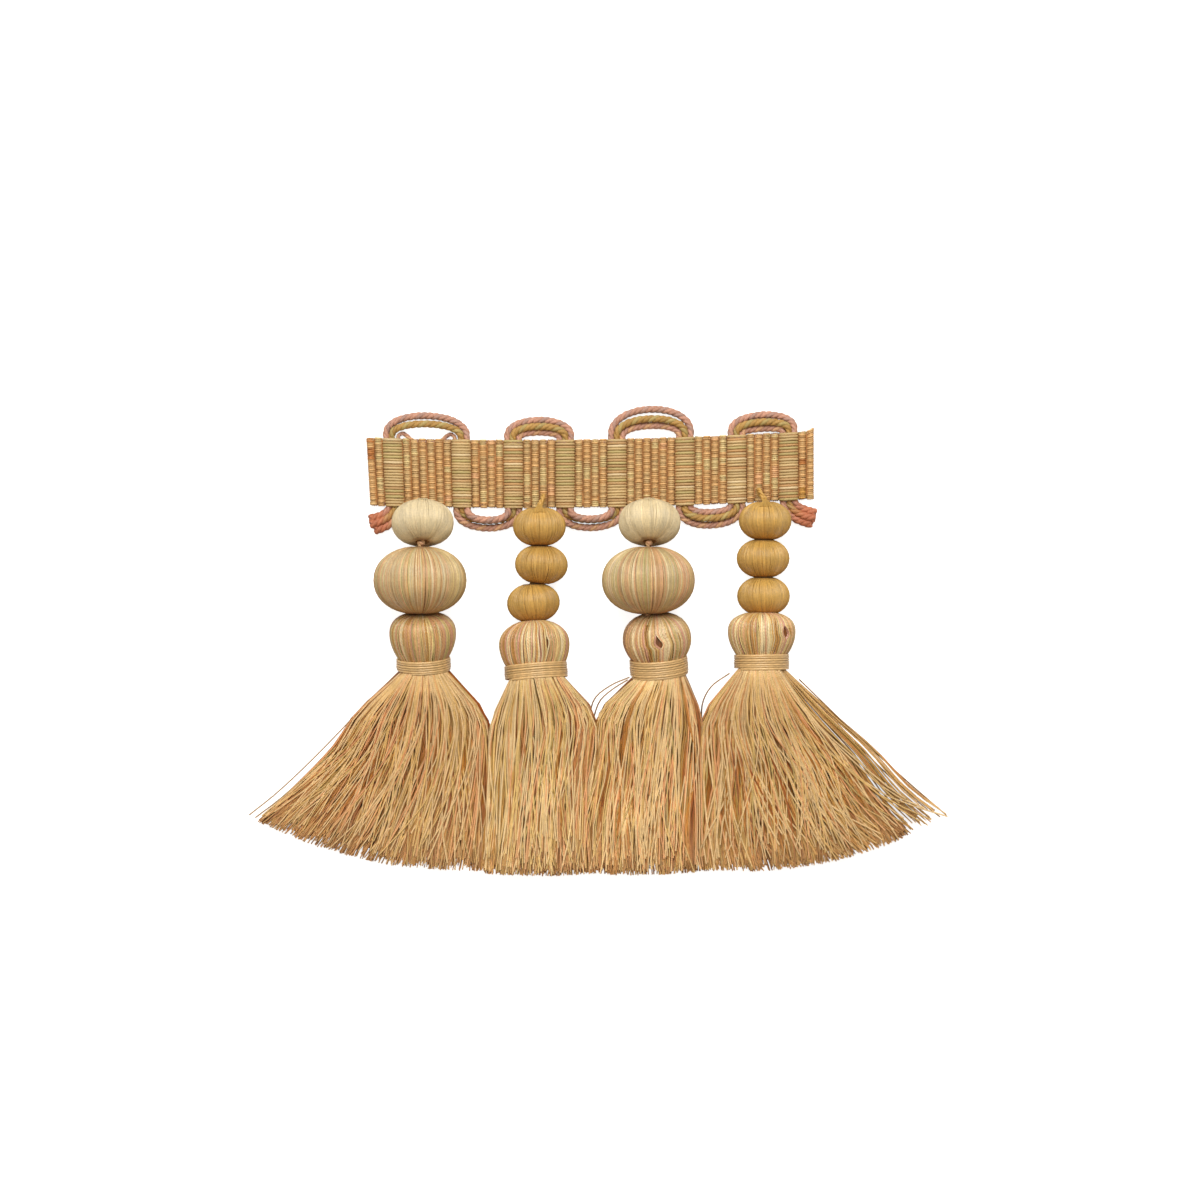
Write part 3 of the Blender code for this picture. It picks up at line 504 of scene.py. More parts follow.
def edgeWeft(rib, side):
    # the weft turns down over the rib's end at the heading's edge
    half = heading["half"]
    crest = heading["wideCrest"] if rib["wide"] else heading["narrowCrest"]
    shares = np.linspace(0.16, 0.84, 9 if rib["wide"] else 4)
    down = np.linspace(0, 1, 6)
    along = (rib["left"] + rib["width"] * shares)[:, None]
    rise = np.sin(math.pi * shares)[:, None] ** (0.25 if rib["wide"] else 0.7)
    across = side * (half - 0.95 * mm + (0.95 * mm - 0.24 * mm) * np.sin(down * math.pi / 2)[None]
                     + dice.normal(0, 0.05 * mm, (len(shares), 1)))
    top = mix(1.3 * mm, crest - 0.38 * mm, rise)
    z = mix(0.3 * mm, top, np.cos(down * math.pi / 2)[None] ** 0.8)
    x, y = onTape(along + 0 * across, across)
    colours = pickShades(("fawn", "sage", "mauve", "tan"), (3, 1.5, 1, 3), len(shares), 2, heading["wideDye"])
    return np.stack([x, y, z], axis=2), 0.23 * mm, colours


def makeWeft():
    batches = [ribWeft(number, rib) for number, rib in enumerate(ribs)]
    for side in (-1, 1):
        batches += [edgeWeft(rib, side) for rib in ribs]
    return spinYarns("headingWeft", batches, 4, "weftYarn")


headingCloth = makeHeadingCloth()
headingWeft = makeWeft()
for piece in (headingCloth, headingWeft):
    finishPiece(piece, "heading_tape")
print("heading woven:", len(headingWeft.data.polygons), "faces")


# three twisted cords, through the wide ribs and over the scallops
gimp = {
    "lane": 1.42 * mm, "pressed": 0.8 * mm, "round": 0.94 * mm, "middle": 1.5 * mm, "spread": 0.7 * mm,
    "settle": 0.6, "steps": 40, "turn": 4.4 * mm, "plies": 3, "seat": 0.44, "fat": 0.6,
    "step": 0.48 * mm, "endSteps": 16, "gluedLeft": 4.5 * mm, "gluedRight": 5.5 * mm, "driftLength": 7 * mm,
    "heights": {"flat": {"outer": 0.85, "middle": 2.1, "inner": 0.85},
                "stacked": {"outer": 0.85, "middle": 0.8, "inner": 2.85}},
    "loops": (
        {"side": 1, "outer": 5.7, "middle": 3.6, "inner": None, "lie": "flat"},
        {"side": -1, "outer": 5.0, "middle": 3.1, "inner": 3.0, "lie": "stacked"},
        {"side": 1, "outer": 4.8, "middle": 3.2, "inner": 1.8, "lie": "flat"},
        {"side": -1, "outer": 5.0, "middle": 3.0, "inner": 2.8, "lie": "stacked"},
        {"side": 1, "outer": 7.1, "middle": 4.7, "inner": 3.0, "lie": "flat"},
        {"side": -1, "outer": 5.2, "middle": 3.5, "inner": 2.0, "lie": "flat"},
        {"side": 1, "outer": 4.6, "middle": 2.8, "inner": 1.2, "lie": "flat"},
    ),
    "tucked": ((0.0, 0.0, 1.5, 0.5), (0.15, 0.75, 1.3, 0.5), (0.9, 1.3, 0.95, 0.55), (1.9, 1.0, 0.65, 0.55),
               (2.8, 0.0, 0.6, 0.55), (4.0, -1.0, 0.6, 0.55)),
    "cords": (
        {"name": "gimpRoseUpper", "node": "gimp_rose_upper", "slot": "rose_gimp", "lane": -1, "tip": 1.2,
         "dye": (0.85, 0.84, 0.84), "plies": ("rose", "mauve", "rose"),
         "left": ((-55.4, -11.9, 1.1), (-50.9, -10.9, 1.1)), "right": ((56.2, -10.4, 1.1), (51.2, -9.2, 1.1))},
        {"name": "gimpGold", "node": "gimp_gold", "slot": "gold_gimp", "lane": 0, "tip": 1.1, "dye": (0.78, 0.84, 0.9),
         "plies": ("ochre", "olive", "ochre"), "left": ((-55.2, -13.3, 1.7), (-49.7, -12.1, 1.6)),
         "right": ((56.0, -11.8, 1.7), (49.8, -10.7, 1.6))},
        {"name": "gimpRoseLower", "node": "gimp_rose_lower", "slot": "rose_gimp", "lane": 1, "tip": 1.2,
         "dye": (0.85, 0.84, 0.84), "plies": ("rose", "peach", "rose"),
         "left": ((-54.1, -14.7, 1.1), (-48.3, -13.5, 1.1)), "right": ((55.3, -13.2, 1.1), (48.5, -11.9, 1.1))},
    ),
}


def laneAt(lane, channel):
    return channels[channel] + lane * (1 if channel % 2 == 0 else -1) * gimp["lane"]


def loopPath(lane, number):
    loop = gimp["loops"][number]
    side = loop["side"]
    role = {0: "middle", -side: "outer", side: "inner"}[lane]
    start, end = laneAt(lane, number), laneAt(lane, number + 1)
    half = heading["half"]
    if loop[role] is None:
        rows = []
        for foot, way, table in ((start, 1, gimp["tucked"]), (end, -1, gimp["tucked"][::-1])):
            for along, rise, height, radius in table:
                x, y = onTape(foot + way * along * mm, side * (half + rise * mm))
                rows.append((x, y, height * mm, radius * mm))
        return rows
    rows = []
    for step in range(gimp["steps"] + 1):
        angle = math.pi * step / gimp["steps"]
        swell = math.sin(angle)
        along = mix(start, end, (1 - math.cos(angle)) / 2) - gimp["spread"] * math.sin(2 * angle)
        x, y = onTape(along, side * (half + loop[role] * mm * swell))
        level = gimp["heights"][loop["lie"]][role] * mm
        height = mix(gimp["middle"], level, max(swell, 0.0) ** gimp["settle"])
        rows.append((x, y, height, mix(gimp["pressed"], gimp["round"], min(1, 3 * swell))))
    return rows


def endPath(cord, which):
    foot = laneAt(cord["lane"], 0 if which == "left" else len(channels) - 1)
    x, y = onTape(foot, -heading["half"])
    tip, corner = (np.array(row) * mm for row in cord[which])
    foot = np.array((x, y, gimp["middle"]))
    rows = []
    for step in range(gimp["endSteps"] + 1):
        share = step / gimp["endSteps"]
        point = mix(mix(tip, corner, share), mix(corner, foot, share), share)
        rows.append((*point, mix(cord["tip"] * mm, gimp["pressed"], share)))
    return rows


def makeGimp(cord):
    rows = endPath(cord, "left")
    for number in range(len(gimp["loops"])):
        rows += loopPath(cord["lane"], number)
    rows += endPath(cord, "right")[::-1]
    rows = np.array(rows, float)
    keep = np.concatenate([[True], np.linalg.norm(np.diff(rows[:, :3], axis=0), axis=1) > 1e-6])
    rows = rows[keep]
    run = np.concatenate([[0], np.cumsum(np.linalg.norm(np.diff(rows[:, :3], axis=0), axis=1))])
    even = np.linspace(0, run[-1], int(run[-1] / gimp["step"]))
    path = np.stack([np.interp(even, run, rows[:, axis]) for axis in range(4)], axis=1)
    for _ in range(3):
        path[1:-1] = (path[:-2] + 2 * path[1:-1] + path[2:]) / 4
    laid, girths = layPlies(path[:, :3], path[:, 3], gimp["plies"], gimp["turn"], seat=gimp["seat"], fat=gimp["fat"])
    laid[..., 2] = np.maximum(laid[..., 2], girths + 0.02 * mm)
    glued = np.minimum(even / gimp["gluedLeft"], (even[-1] - even) / gimp["gluedRight"])
    glued = np.clip(1.5 - glued, 0, 1)[:, None]
    batches = []
    for ply, name in enumerate(cord["plies"]):
        base = np.array(yarnShades[name]) * cord["dye"]
        drift = 1 + 0.08 * np.sin(even / gimp["driftLength"] + ply * 2 + cord["lane"])[:, None]
        colour = mix(base * drift, np.array(yarnShades["coral"]) * (0.82 + 0.07 * ply), glued)
        batches.append((laid[ply:ply + 1], girths[ply:ply + 1], colour[None]))
    return spinYarns(cord["name"], batches, 6, "gimpYarn")


for cord in gimp["cords"]:
    finishPiece(makeGimp(cord), cord["node"])
print("gimp cords laid")


# sizes in mm; fullness is the power of a bead's rounding, and dyes scale its colours; the rim and lower-half tones and
# the core's colour are painted shade
beadKinds = {
    "cream": {"radius": 7.75, "half": 5.3, "bore": 1.9, "fullness": 2.25, "threads": 170, "girth": 0.19, "steps": 15,
              "dye": (0.88, 0.88, 0.85), "rimShadow": (1.0, 0.78, 0.56), "lowerHalfShadow": (1, 1, 1), "rimReach": 0.34,
              "slot": "cream_bead", "names": ("satin", "cream"), "weights": (5, 2), "group": 3, "drift": 0.03,
              "contrast": (0.95, 1.04), "under": shade(190, 146, 92)},
    "large": {"radius": 11.6, "half": 8.45, "bore": 2.2, "fullness": 2.15, "threads": 240, "girth": 0.2, "steps": 19,
              "dye": (0.8, 0.8, 0.76), "rimShadow": (0.56, 0.34, 0.16), "lowerHalfShadow": (0.9, 0.74, 0.58), "rimReach": 0.42,
              "slot": "striped_bead", "names": ("wheat", "sage", "peach", "fawn", "straw", "tan", "cream"),
              "weights": (4, 1.6, 2.2, 3, 2, 3, 2.4), "group": 1, "drift": 0.06,
              "contrast": (0.86, 1.1), "under": shade(150, 102, 54)},
    "gold": {"radius": 6.6, "half": 4.9, "bore": 2.0, "fullness": 2.05, "threads": 156, "girth": 0.17, "steps": 13,
             "dye": (0.82, 0.82, 0.75), "rimShadow": (0.56, 0.33, 0.13), "lowerHalfShadow": (0.98, 0.78, 0.55), "rimReach": 0.42,
             "slot": "gold_bead", "names": ("amber", "honey"), "weights": (5, 2), "group": 2, "drift": 0.05,
             "contrast": (0.88, 1.08), "under": shade(150, 100, 42)},
}

# the string and its tuft, by the kind of the first bead
hangers = {
    "cream": {"girth": 0.8, "plies": ("peach", "tan"), "tuftThreads": 10, "tuftWidth": 1.0},
    "gold": {"girth": 0.6, "plies": ("gold", "gold"), "tuftThreads": 16, "tuftWidth": 1.15},
}
hangerSetup = {"steps": 90, "turn": 3.2 * mm, "seat": 0.46, "fat": 0.56, "dye": 0.85, "tuftSteps": 14, "tuftDye": 0.95}
# beads: node, kind, place, tilt and lean; skirt: left x and y, right x and y and height, row by row
tassels = (
    {"name": "tassel1", "hole": (-42.0, -7.0),
     "beads": (("cream_bead", "cream", (-42.0, -13.0, 9.4), -22, 0),
               ("large_bead", "large", (-42.6, -27.35, 11.65), 0, 0)),
     "head": {"at": (-42.0, -40.75, 9.0), "radius": 8.25, "top": 4.6, "bottom": 5.5, "tilt": 10, "lean": 1.5,
              "dome": 2.6, "swirl": 0.1},
     "packed": (0.02, 1.0),
     "flyaways": (((-56.0, -58.0, 6.0), (-68.0, -70.5, 4.0), (-78.0, -80.0, 2.0), (-85.7, -86.2, 0.6)),
                  ((-56.0, -59.0, 6.0), (-66.0, -70.5, 4.0), (-76.0, -80.5, 2.0), (-84.2, -86.9, 0.5)),
                  ((-55.0, -61.0, 6.0), (-63.0, -71.5, 4.0), (-74.0, -81.5, 2.0), (-82.6, -87.3, 0.5))),
     "binding": {"radius": 6.9, "height": 3.6}, "bulge": 3.6, "spread": 1.25, "dye": (0.88, 0.81, 0.76),
     "skirt": ((-58.5, -60.25, -26.4, -60.75, 11.5), (-64.5, -69.25, -25.3, -72.75, 8.5),
               (-72.75, -77.75, -26.1, -86.25, 6.3), (-84.25, -88.5, -27.6, -101.0, 4.6))},
    {"name": "tassel2", "hole": (-12.9, -5.5),
     "beads": (("gold_bead_1", "gold", (-12.9, -13.9, 6.65), 0, 0),
               ("gold_bead_2", "gold", (-12.4, -23.4, 6.65), 0, -3),
               ("gold_bead_3", "gold", (-14.4, -32.95, 6.65), 0, 5)),
     "head": {"at": (-14.2, -43.25, 8.0), "radius": 8.75, "top": 5.2, "bottom": 4.5, "tilt": -3, "lean": 4,
              "dome": 2.15, "swirl": -0.15},
     "parting": {"heights": (-3.2, -1.5, 0.2, 1.8), "widths": (0, 0.06, 0.05, 0), "angles": (1.1, 1.12, 1.15, 1.18)},
     "packed": (0.0, 1.0),
     "flyaways": (),
     "binding": {"radius": 8.0, "height": 4.2}, "bulge": 0.5, "spread": 1.0, "dye": (0.98, 0.98, 0.96),
     "skirt": ((-24.8, -62.75, 0.9, -61.25, 13.0), (-25.6, -74.25, 0.0, -73.75, 10.0),
               (-25.9, -87.25, -1.8, -87.25, 8.5), (-26.8, -101.5, -1.8, -101.75, 7.5))},
    {"name": "tassel3", "hole": (14.4, -7.0),
     "beads": (("cream_bead", "cream", (14.6, -12.9, 9.4), -22, 0),
               ("large_bead", "large", (14.3, -27.35, 11.65), 0, 0)),
     "head": {"at": (16.5, -42.25, 8.9), "radius": 8.5, "top": 6.1, "bottom": 4.0, "tilt": 9, "lean": 4,
              "dome": 2.3, "swirl": 0.1},
     "parting": {"heights": (-1.1, -0.5, 0.4, 1.7, 2.8), "widths": (0, 0.15, 0.16, 0.08, 0),
                 "angles": (1.53, 1.54, 1.56, 1.6, 1.62)},
     "packed": (0.0, 1.0),
     "flyaways": (((9.6, -51.6, 9.0), (5.0, -53.6, 8.0), (0.9, -57.0, 6.5), (-0.6, -62.5, 4.0)),
                  ((9.2, -52.2, 9.0), (5.4, -54.6, 8.0), (2.2, -57.6, 6.5), (0.4, -62.5, 4.0))),
     "binding": {"radius": 7.4, "height": 4.8}, "bulge": 0.5, "spread": 1.0, "dye": (0.98, 0.95, 0.92),
     "skirt": ((2.0, -60.75, 27.4, -61.25, 12.8), (0.8, -73.75, 26.9, -73.75, 9.5),
               (-1.0, -87.25, 26.5, -87.25, 8.0), (-1.0, -101.5, 26.3, -101.25, 7.0))},
    {"name": "tassel4", "hole": (42.6, -5.5),
     "beads": (("gold_bead_1", "gold", (43.5, -12.45, 6.65), 0, 0), ("gold_bead_2", "gold", (43.0, -21.85, 6.65), 0, 0),
               ("gold_bead_3", "gold", (43.1, -31.25, 6.65), 0, 0)),
     "head": {"at": (42.6, -40.35, 7.9), "radius": 8.4, "top": 4.2, "bottom": 5.0, "tilt": 0, "lean": 0,
              "dome": 2.6, "swirl": 0.0},
     "parting": {"heights": (-1.7, -0.7, 0.6, 1.9), "widths": (0, 0.15, 0.13, 0), "angles": (0.74, 0.76, 0.8, 0.84)},
     "packed": (0.0, 0.82),
     "flyaways": (((34.6, -50.6, 9.0), (30.2, -53.8, 7.0), (28.0, -57.8, 5.0), (27.6, -62.5, 3.0)),
                  ((52.0, -52.0, 8.0), (66.0, -65.5, 4.5), (78.0, -76.5, 2.2), (89.2, -86.2, 0.6)),
                  ((52.0, -53.0, 8.0), (65.0, -66.5, 4.5), (76.0, -77.5, 2.2), (87.6, -86.6, 0.6)),
                  ((52.0, -54.0, 8.0), (63.0, -67.0, 4.5), (74.0, -78.0, 2.2), (85.4, -87.2, 0.6))),
     "binding": {"radius": 7.0, "height": 4.2}, "bulge": 4.8, "spread": 1.25, "dye": (0.9, 0.85, 0.8),
     "skirt": ((28.0, -61.25, 60.5, -60.5, 11.5), (27.0, -73.75, 71.25, -69.75, 8.5),
               (26.6, -87.25, 80.25, -79.25, 6.3), (27.4, -101.0, 91.0, -87.0, 4.6))},
)


def axisFrame(at, tilt, lean):
    # local Y runs up the tassel
    return (Matrix.Translation(Vector(at) * mm) @ Matrix.Rotation(math.radians(lean), 4, "Z")
            @ Matrix.Rotation(math.radians(tilt), 4, "X"))


def headFrame(tassel):
    return axisFrame(tassel["head"]["at"], tassel["head"]["tilt"], tassel["head"]["lean"])


def roundAxis(radius, angles, height):
    # places round local Y
    height = np.broadcast_to(height, angles.shape)
    return np.stack([radius * np.cos(angles), height, radius * np.sin(angles)], axis=-1)


def placeAll(matrix, points):
    matrix = np.array(matrix)
    return points @ matrix[:3, :3].T + matrix[:3, 3]


def turnedCore(name, profile, matrix, colour):
    # a ring extruded and scaled from each radius to the next, then laid along the tassel
    bpy.ops.object.select_all(action="DESELECT")
    bpy.ops.mesh.primitive_circle_add(vertices=40, radius=profile[0][0], location=(0, 0, 0))
    core = bpy.context.object
    core.name = name
    bpy.ops.object.mode_set(mode="EDIT")
    bpy.ops.mesh.select_all(action="SELECT")
    level = 0.0
    for (radius, height), (nextRadius, nextHeight) in zip(profile, profile[1:]):
        bpy.ops.mesh.extrude_region_move(TRANSFORM_OT_translate={"value": (0, 0, nextHeight - height)})
        level += nextHeight - height
        share = nextRadius / radius
        bpy.ops.transform.resize(value=(share, share, 1), center_override=(0, 0, level))
    bpy.ops.mesh.select_all(action="SELECT")
    bpy.ops.mesh.remove_doubles(threshold=0.00001)
    bpy.ops.mesh.normals_make_consistent(inside=False)
    bpy.ops.object.mode_set(mode="OBJECT")
    upright = Matrix.Translation((0, profile[0][1], 0)) @ Matrix.Rotation(math.radians(-90), 4, "X")
    core.data.transform(matrix @ upright)
    return finishCore(core, colour)


def joinPieces(name, pieces):
    bpy.ops.object.select_all(action="DESELECT")
    for piece in pieces:
        piece.select_set(True)
    bpy.context.view_layer.objects.active = pieces[0]
    bpy.ops.object.join()
    pieces[0].name = name
    pieces[0].data.name = name
    return pieces[0]


def beadProfile(kind, shrink, count):
    radius, half = kind["radius"] - shrink, kind["half"] + 0.2 - shrink
    power = 2 / kind["fullness"]
    rim = math.acos((kind["bore"] / radius) ** (1 / power))
    angles = np.linspace(rim, -rim, count)
    heights = np.sign(np.sin(angles)) * np.abs(np.sin(angles)) ** power * half
    return np.stack([radius * np.cos(angles) ** power, heights], axis=1) * mm


def makeBead(tassel, row):
    beadName, kindName, at, tilt, lean = row
    kind = beadKinds[kindName]
    matrix = axisFrame(at, tilt, lean)
    outline = beadProfile(kind, kind["girth"], kind["steps"])
    hole = kind["bore"] * mm
    inside = np.array([[hole * 0.6, outline[0, 1] - 1.6 * mm], [hole * 0.86, outline[0, 1] - 0.5 * mm]])
    outline = np.concatenate([inside, outline, inside[::-1] * (1, -1)])
    count = kind["threads"]
    angles = 2 * math.pi * (np.arange(count) + dice.uniform(-0.25, 0.25, count)) / count
    steps = np.linspace(-1, 1, len(outline))
    slope = dice.normal(0, 0.6, (count, 1)) * steps * 2 * math.pi / count
    angles = angles[:, None] + slope + 0.05 * np.sin(angles * 2 + 1)[:, None] * steps
    lift = dice.uniform(-0.02, 0.015, (count, 1)) * mm
    radius = outline[None, :, 0] + lift
    path = roundAxis(radius, angles, outline[:, 1])
    share = outline[:, 0] / (kind["radius"] * mm)
    girths = kind["girth"] * mm * (0.42 + 0.68 * share)[None] * dice.uniform(0.94, 1.08, (count, 1))
    colours = pickShades(kind["names"], kind["weights"], count, kind["group"], kind["dye"])
    # the yarn was dyed in passages, so a thread's colour drifts on its way down
    drift = 1 + kind["drift"] * np.sin(steps[None] * dice.uniform(1, 4, (count, 1)) + dice.uniform(0, 6.3, (count, 1)))
    # painted shade: inside the hole and at its rim the thread is darkened, as if in shadow
    shaded = mix(np.array(kind["rimShadow"]), np.ones(3), np.clip((share - 0.1) / kind["rimReach"], 0, 1)[:, None])
    # painted shade: the lower half, away from the lamp, takes a darker and more golden tone
    shaded = shaded * mix(np.ones(3), np.array(kind["lowerHalfShadow"]), np.clip(1.6 * steps, 0, 1)[:, None])
    colours = colours[:, None] * drift[..., None] * shaded[None] * dice.uniform(*kind["contrast"], (count, 1, 1))
    threads = spinYarns("threads", [(placeAll(matrix, path), girths, colours)], 4, "beadThread")
    # the mould under the threads is coloured dark as painted shade, seen in the gaps between them
    mould = beadProfile(kind, kind["girth"] + 0.1, 13)
    mould = [(hole * 0.5, mould[0, 1]), *map(tuple, mould), (hole * 0.5, mould[-1, 1]), (hole * 0.5, mould[0, 1])]
    core = turnedCore("mould", mould, matrix, kind["under"])
    name = tassel["name"] + beadName.title().replace("_", "")
    finishPiece(joinPieces(name, [threads, core]), f"{tassel['name']}_{beadName}")


def headOutline(tassel):
    # radius and height down the head, from the string's hole to the binding
    head, wrapped = tassel["head"], tassel["binding"]["radius"]
    top, dome = head["top"] + headSetup["rise"], head["dome"]
    rows = [(1.0, top - 0.3)]
    for share in (0.98, 0.92, 0.82, 0.69, 0.55, 0.42, 0.29, 0.15, 0.0):
        rows.append((head["radius"] * (1 - share ** dome) ** (1 / dome), top * share))
    for share in (0.16, 0.33, 0.55, 0.78, 0.97):
        rows.append((mix(head["radius"], wrapped - 0.3, share ** 1.9), -share * head["bottom"]))
    rows.append((wrapped - 0.9, -head["bottom"] - 1.0))
    return np.array(rows) * mm


def partStrands(part, angles, heights):
    # the strands part round a drop-shaped opening and lean with it
    rows = np.linspace(part["heights"][0], part["heights"][-1], 9)
    width = np.interp(rows, part["heights"], part["widths"])
    width[1:-1] = (width[:-2] + 2 * width[1:-1] + width[2:]) / 4
    width = np.interp(heights / mm, rows, width)
    home = float(np.mean(part["angles"]))
    ends = (part["heights"][0] - 3, *part["heights"], part["heights"][-1] + 3)
    middle = np.interp(heights / mm, ends, (home, *part["angles"], home))
    for _ in range(2):
        middle = np.convolve(np.pad(middle, 1, mode="edge"), (0.25, 0.5, 0.25), "valid")
    away = (angles - home + math.pi) % (2 * math.pi) - math.pi
    way = np.sign(away.mean(axis=1, keepdims=True))
    near = np.exp(-(away / 0.6) ** 2)
    return angles + near * (middle - home) + way * (np.sqrt(away ** 2 + width ** 2) - np.abs(away))


def makeHead(tassel):
    head = tassel["head"]
    matrix = headFrame(tassel)
    outline = headOutline(tassel)
    # strands beside a parting get twice the rows, so that they curve round it
    halves = np.linspace(0, len(outline) - 1, 2 * len(outline) - 1)
    fineOutline = np.stack([np.interp(halves, np.arange(len(outline)), outline[:, axis]) for axis in (0, 1)], axis=1)
    batches = []
    for count, girth, sink, uneven in headSetup["layers"]:
        place = 2 * math.pi * (np.arange(count) + dice.uniform(-0.4, 0.4, count)) / count
        bow, slant = dice.normal(0, 0.02, (count, 1)), dice.normal(0, 0.02, (count, 1))
        depth, girthShare = dice.random((count, 1)), dice.uniform(0.82, 1.18, (count, 1))
        tint = pickShades(headSetup["names"], headSetup["weights"], count, 2, headSetup["dye"])
        tint = tint * dice.uniform(0.7, 1.08, (count, 1)) ** np.array((0.8, 1.0, 1.2))
        beside = np.zeros(count, bool)
        if "parting" in tassel:
            home = float(np.mean(tassel["parting"]["angles"])) - 0.5 * head["swirl"]
            beside = np.abs((place - home + math.pi) % (2 * math.pi) - math.pi) < headSetup["partReach"]
        for rows, chosen in ((outline, ~beside), (fineOutline, beside)):
            if not chosen.any():
                continue
            down = np.linspace(0, 1, len(rows))
            angles = place[chosen][:, None] + bow[chosen] * np.sin(down * math.pi) + slant[chosen] * down
            angles = angles + head["swirl"] * (1 - down)
            # tufts of strands draw together towards the hole and the binding
            drawn = np.sin(angles * headSetup["drawnTufts"] + head["radius"])
            angles += headSetup["drawn"] * drawn * (1 - np.sin(down * math.pi))
            if "parting" in tassel:
                angles = partStrands(tassel["parting"], angles, rows[:, 1])
            radius = rows[None, :, 0] - (sink - uneven * depth[chosen]) * mm
            path = roundAxis(radius, angles, rows[:, 1])
            share = rows[:, 0] / (head["radius"] * mm)
            girths = girth * mm * (0.42 + 0.66 * share)[None] * girthShare[chosen]
            path = placeAll(matrix, path)
            path[..., 2] = np.maximum(path[..., 2], girths + 0.02 * mm)
            batches.append((path, girths, tint[chosen]))
    strands = spinYarns("headStrands", batches, 4, "headYarn")
    core = [(0.4 * mm, outline[0, 1] - 0.3 * mm)]
    core += [(max(0.5 * mm, radius - 0.7 * mm), height - 0.15 * mm) for radius, height in outline[1:-1]]
    neckEnd = -(head["bottom"] + tassel["binding"]["height"] + 0.6) * mm
    core += [(outline[-1, 0] - 0.3 * mm, outline[-1, 1]), (outline[-1, 0] - 0.3 * mm, neckEnd), (0.5 * mm, neckEnd)]
    # the core under the strands is coloured dark brown as painted shade, seen through the parting
    body = turnedCore("headCore", core, matrix, headSetup["under"])
    for vertex in body.data.vertices:
        vertex.co.z = max(vertex.co.z, 0.3 * mm)
    obj = joinPieces(tassel["name"] + "Head", [strands, body])
    finishPiece(obj, tassel["name"] + "_head_and_skirt")


# the layer dyes, the root paleness and the hank's colour below are painted light and shade
skirtSetup = {
    "ground": 400, "wisps": 80, "each": 7, "strays": 120, "loose": 66, "looseWisps": 11, "steps": 12,
    "girth": (0.18, 0.25), "strayGirth": (0.24, 0.3), "hankLevels": (0.78, 0.78, 0.7, 0.3), "diving": 0.4,
    "names": ("cream", "straw", "gold", "ochre", "peach", "rose", "tan", "sage", "rust"),
    "groundWeights": (0.6, 1, 4, 4, 2.4, 1.6, 4, 0.4, 2.6), "wispWeights": (4.5, 3.5, 3, 1.8, 3.2, 1.2, 2.6, 0.9, 0.4),
    "strayWeights": (6, 3, 0, 0, 2, 0, 0, 0.5, 0), "groundShadowed": (0.7, 0.43, 0.19), "wispPartShadowed": (0.92, 0.7, 0.43),
    "strayLit": (1.14, 1.04, 0.9), "rootHighlight": 0.45, "tipPale": 0.3, "palest": shade(242, 208, 152),
    "hankPaintedShade": shade(198, 130, 62), "sidelong": 0.18,
    "cornerAngle": 25, "sideHeight": 0.55, "hankColumns": 26, "hankRows": 18, "flyawayGirth": 0.22,
    "inset": 1.1, "hankInset": 1.5, "hankRoot": 0.92, "scatter": 0.011, "wispDrift": 0.045, "strayTilt": 0.2,
    "tilt": 0.02, "jitter": 0.28, "looseJitter": 0.08, "familyShare": 0.7, "shortWisp": 0.05, "shortStrand": 0.03,
    "shortStray": 0.12, "swing": 0.36, "straySwing": 1.0, "looseSwing": 0.15, "rootReach": 0.5, "tipReach": 0.2,
}
headSetup = {
    "rise": 0.8, "layers": ((70, 0.34, 0.56, 0.1), (215, 0.19, 0.27, 0.16)),
    "names": ("cream", "straw", "peach", "tan", "sage", "rose", "ochre"), "weights": (3.6, 3, 2.6, 3, 1.4, 1.4, 1.8),
    "dye": (1.0, 0.98, 0.92), "under": shade(128, 78, 36),
    "partReach": 0.5, "drawn": 0.03, "drawnTufts": 15,
}
bindingSetup = {"pitch": 0.56, "girth": 0.31, "dye": (0.9, 0.79, 0.68)}


def pickFamily(names, weights, count):
    return dice.choice(len(names), count, p=np.array(weights) / sum(weights))


def skirtControls(tassel, sideways, level, rootLevel, inset, shifts=None, jitter=0.0):
    # the points that each strand goes through, from inside the binding to its tip
    head, binding = tassel["head"], tassel["binding"]
    matrix = headFrame(tassel)
    count = len(sideways)
    corner = math.radians(skirtSetup["cornerAngle"])
    angle = mix(math.pi - corner, corner, sideways)
    rootX, rootZ = np.cos(angle), np.sin(angle) * np.clip(2 * rootLevel - 1, -1, 1)
    neckEnd = -head["bottom"] - binding["height"] - 0.6
    inner = binding["radius"] - inset
    controls = []
    for radius, height in ((inner, neckEnd + 1.6), (inner + 0.5, neckEnd + 0.4)):
        local = np.stack([radius * rootX, np.full(count, height), radius * rootZ], axis=1) * mm
        controls.append(placeAll(matrix, local))
    for number, (leftX, leftY, rightX, rightY, height) in enumerate(tassel["skirt"]):
        down = (number + 1) / len(tassel["skirt"])
        share = np.clip(sideways + (0.0 if shifts is None else shifts[number]), 0.0, 1.0)
        arch = np.sin(math.pi * share)
        x = mix(leftX, rightX, share) + dice.normal(0, 1, count) * jitter * down
        y = mix(leftY, rightY, share) - tassel["bulge"] * arch * down ** 2
        top = height * mix(skirtSetup["sideHeight"], 1.0, arch ** 0.8)
        z = 0.3 + (top - 0.5) * np.clip(level[number] + dice.normal(0, 0.07, count) * jitter, 0, 1.06)
        controls.append(np.stack([x, y, z], axis=1) * mm)
    return np.stack(controls, axis=1)


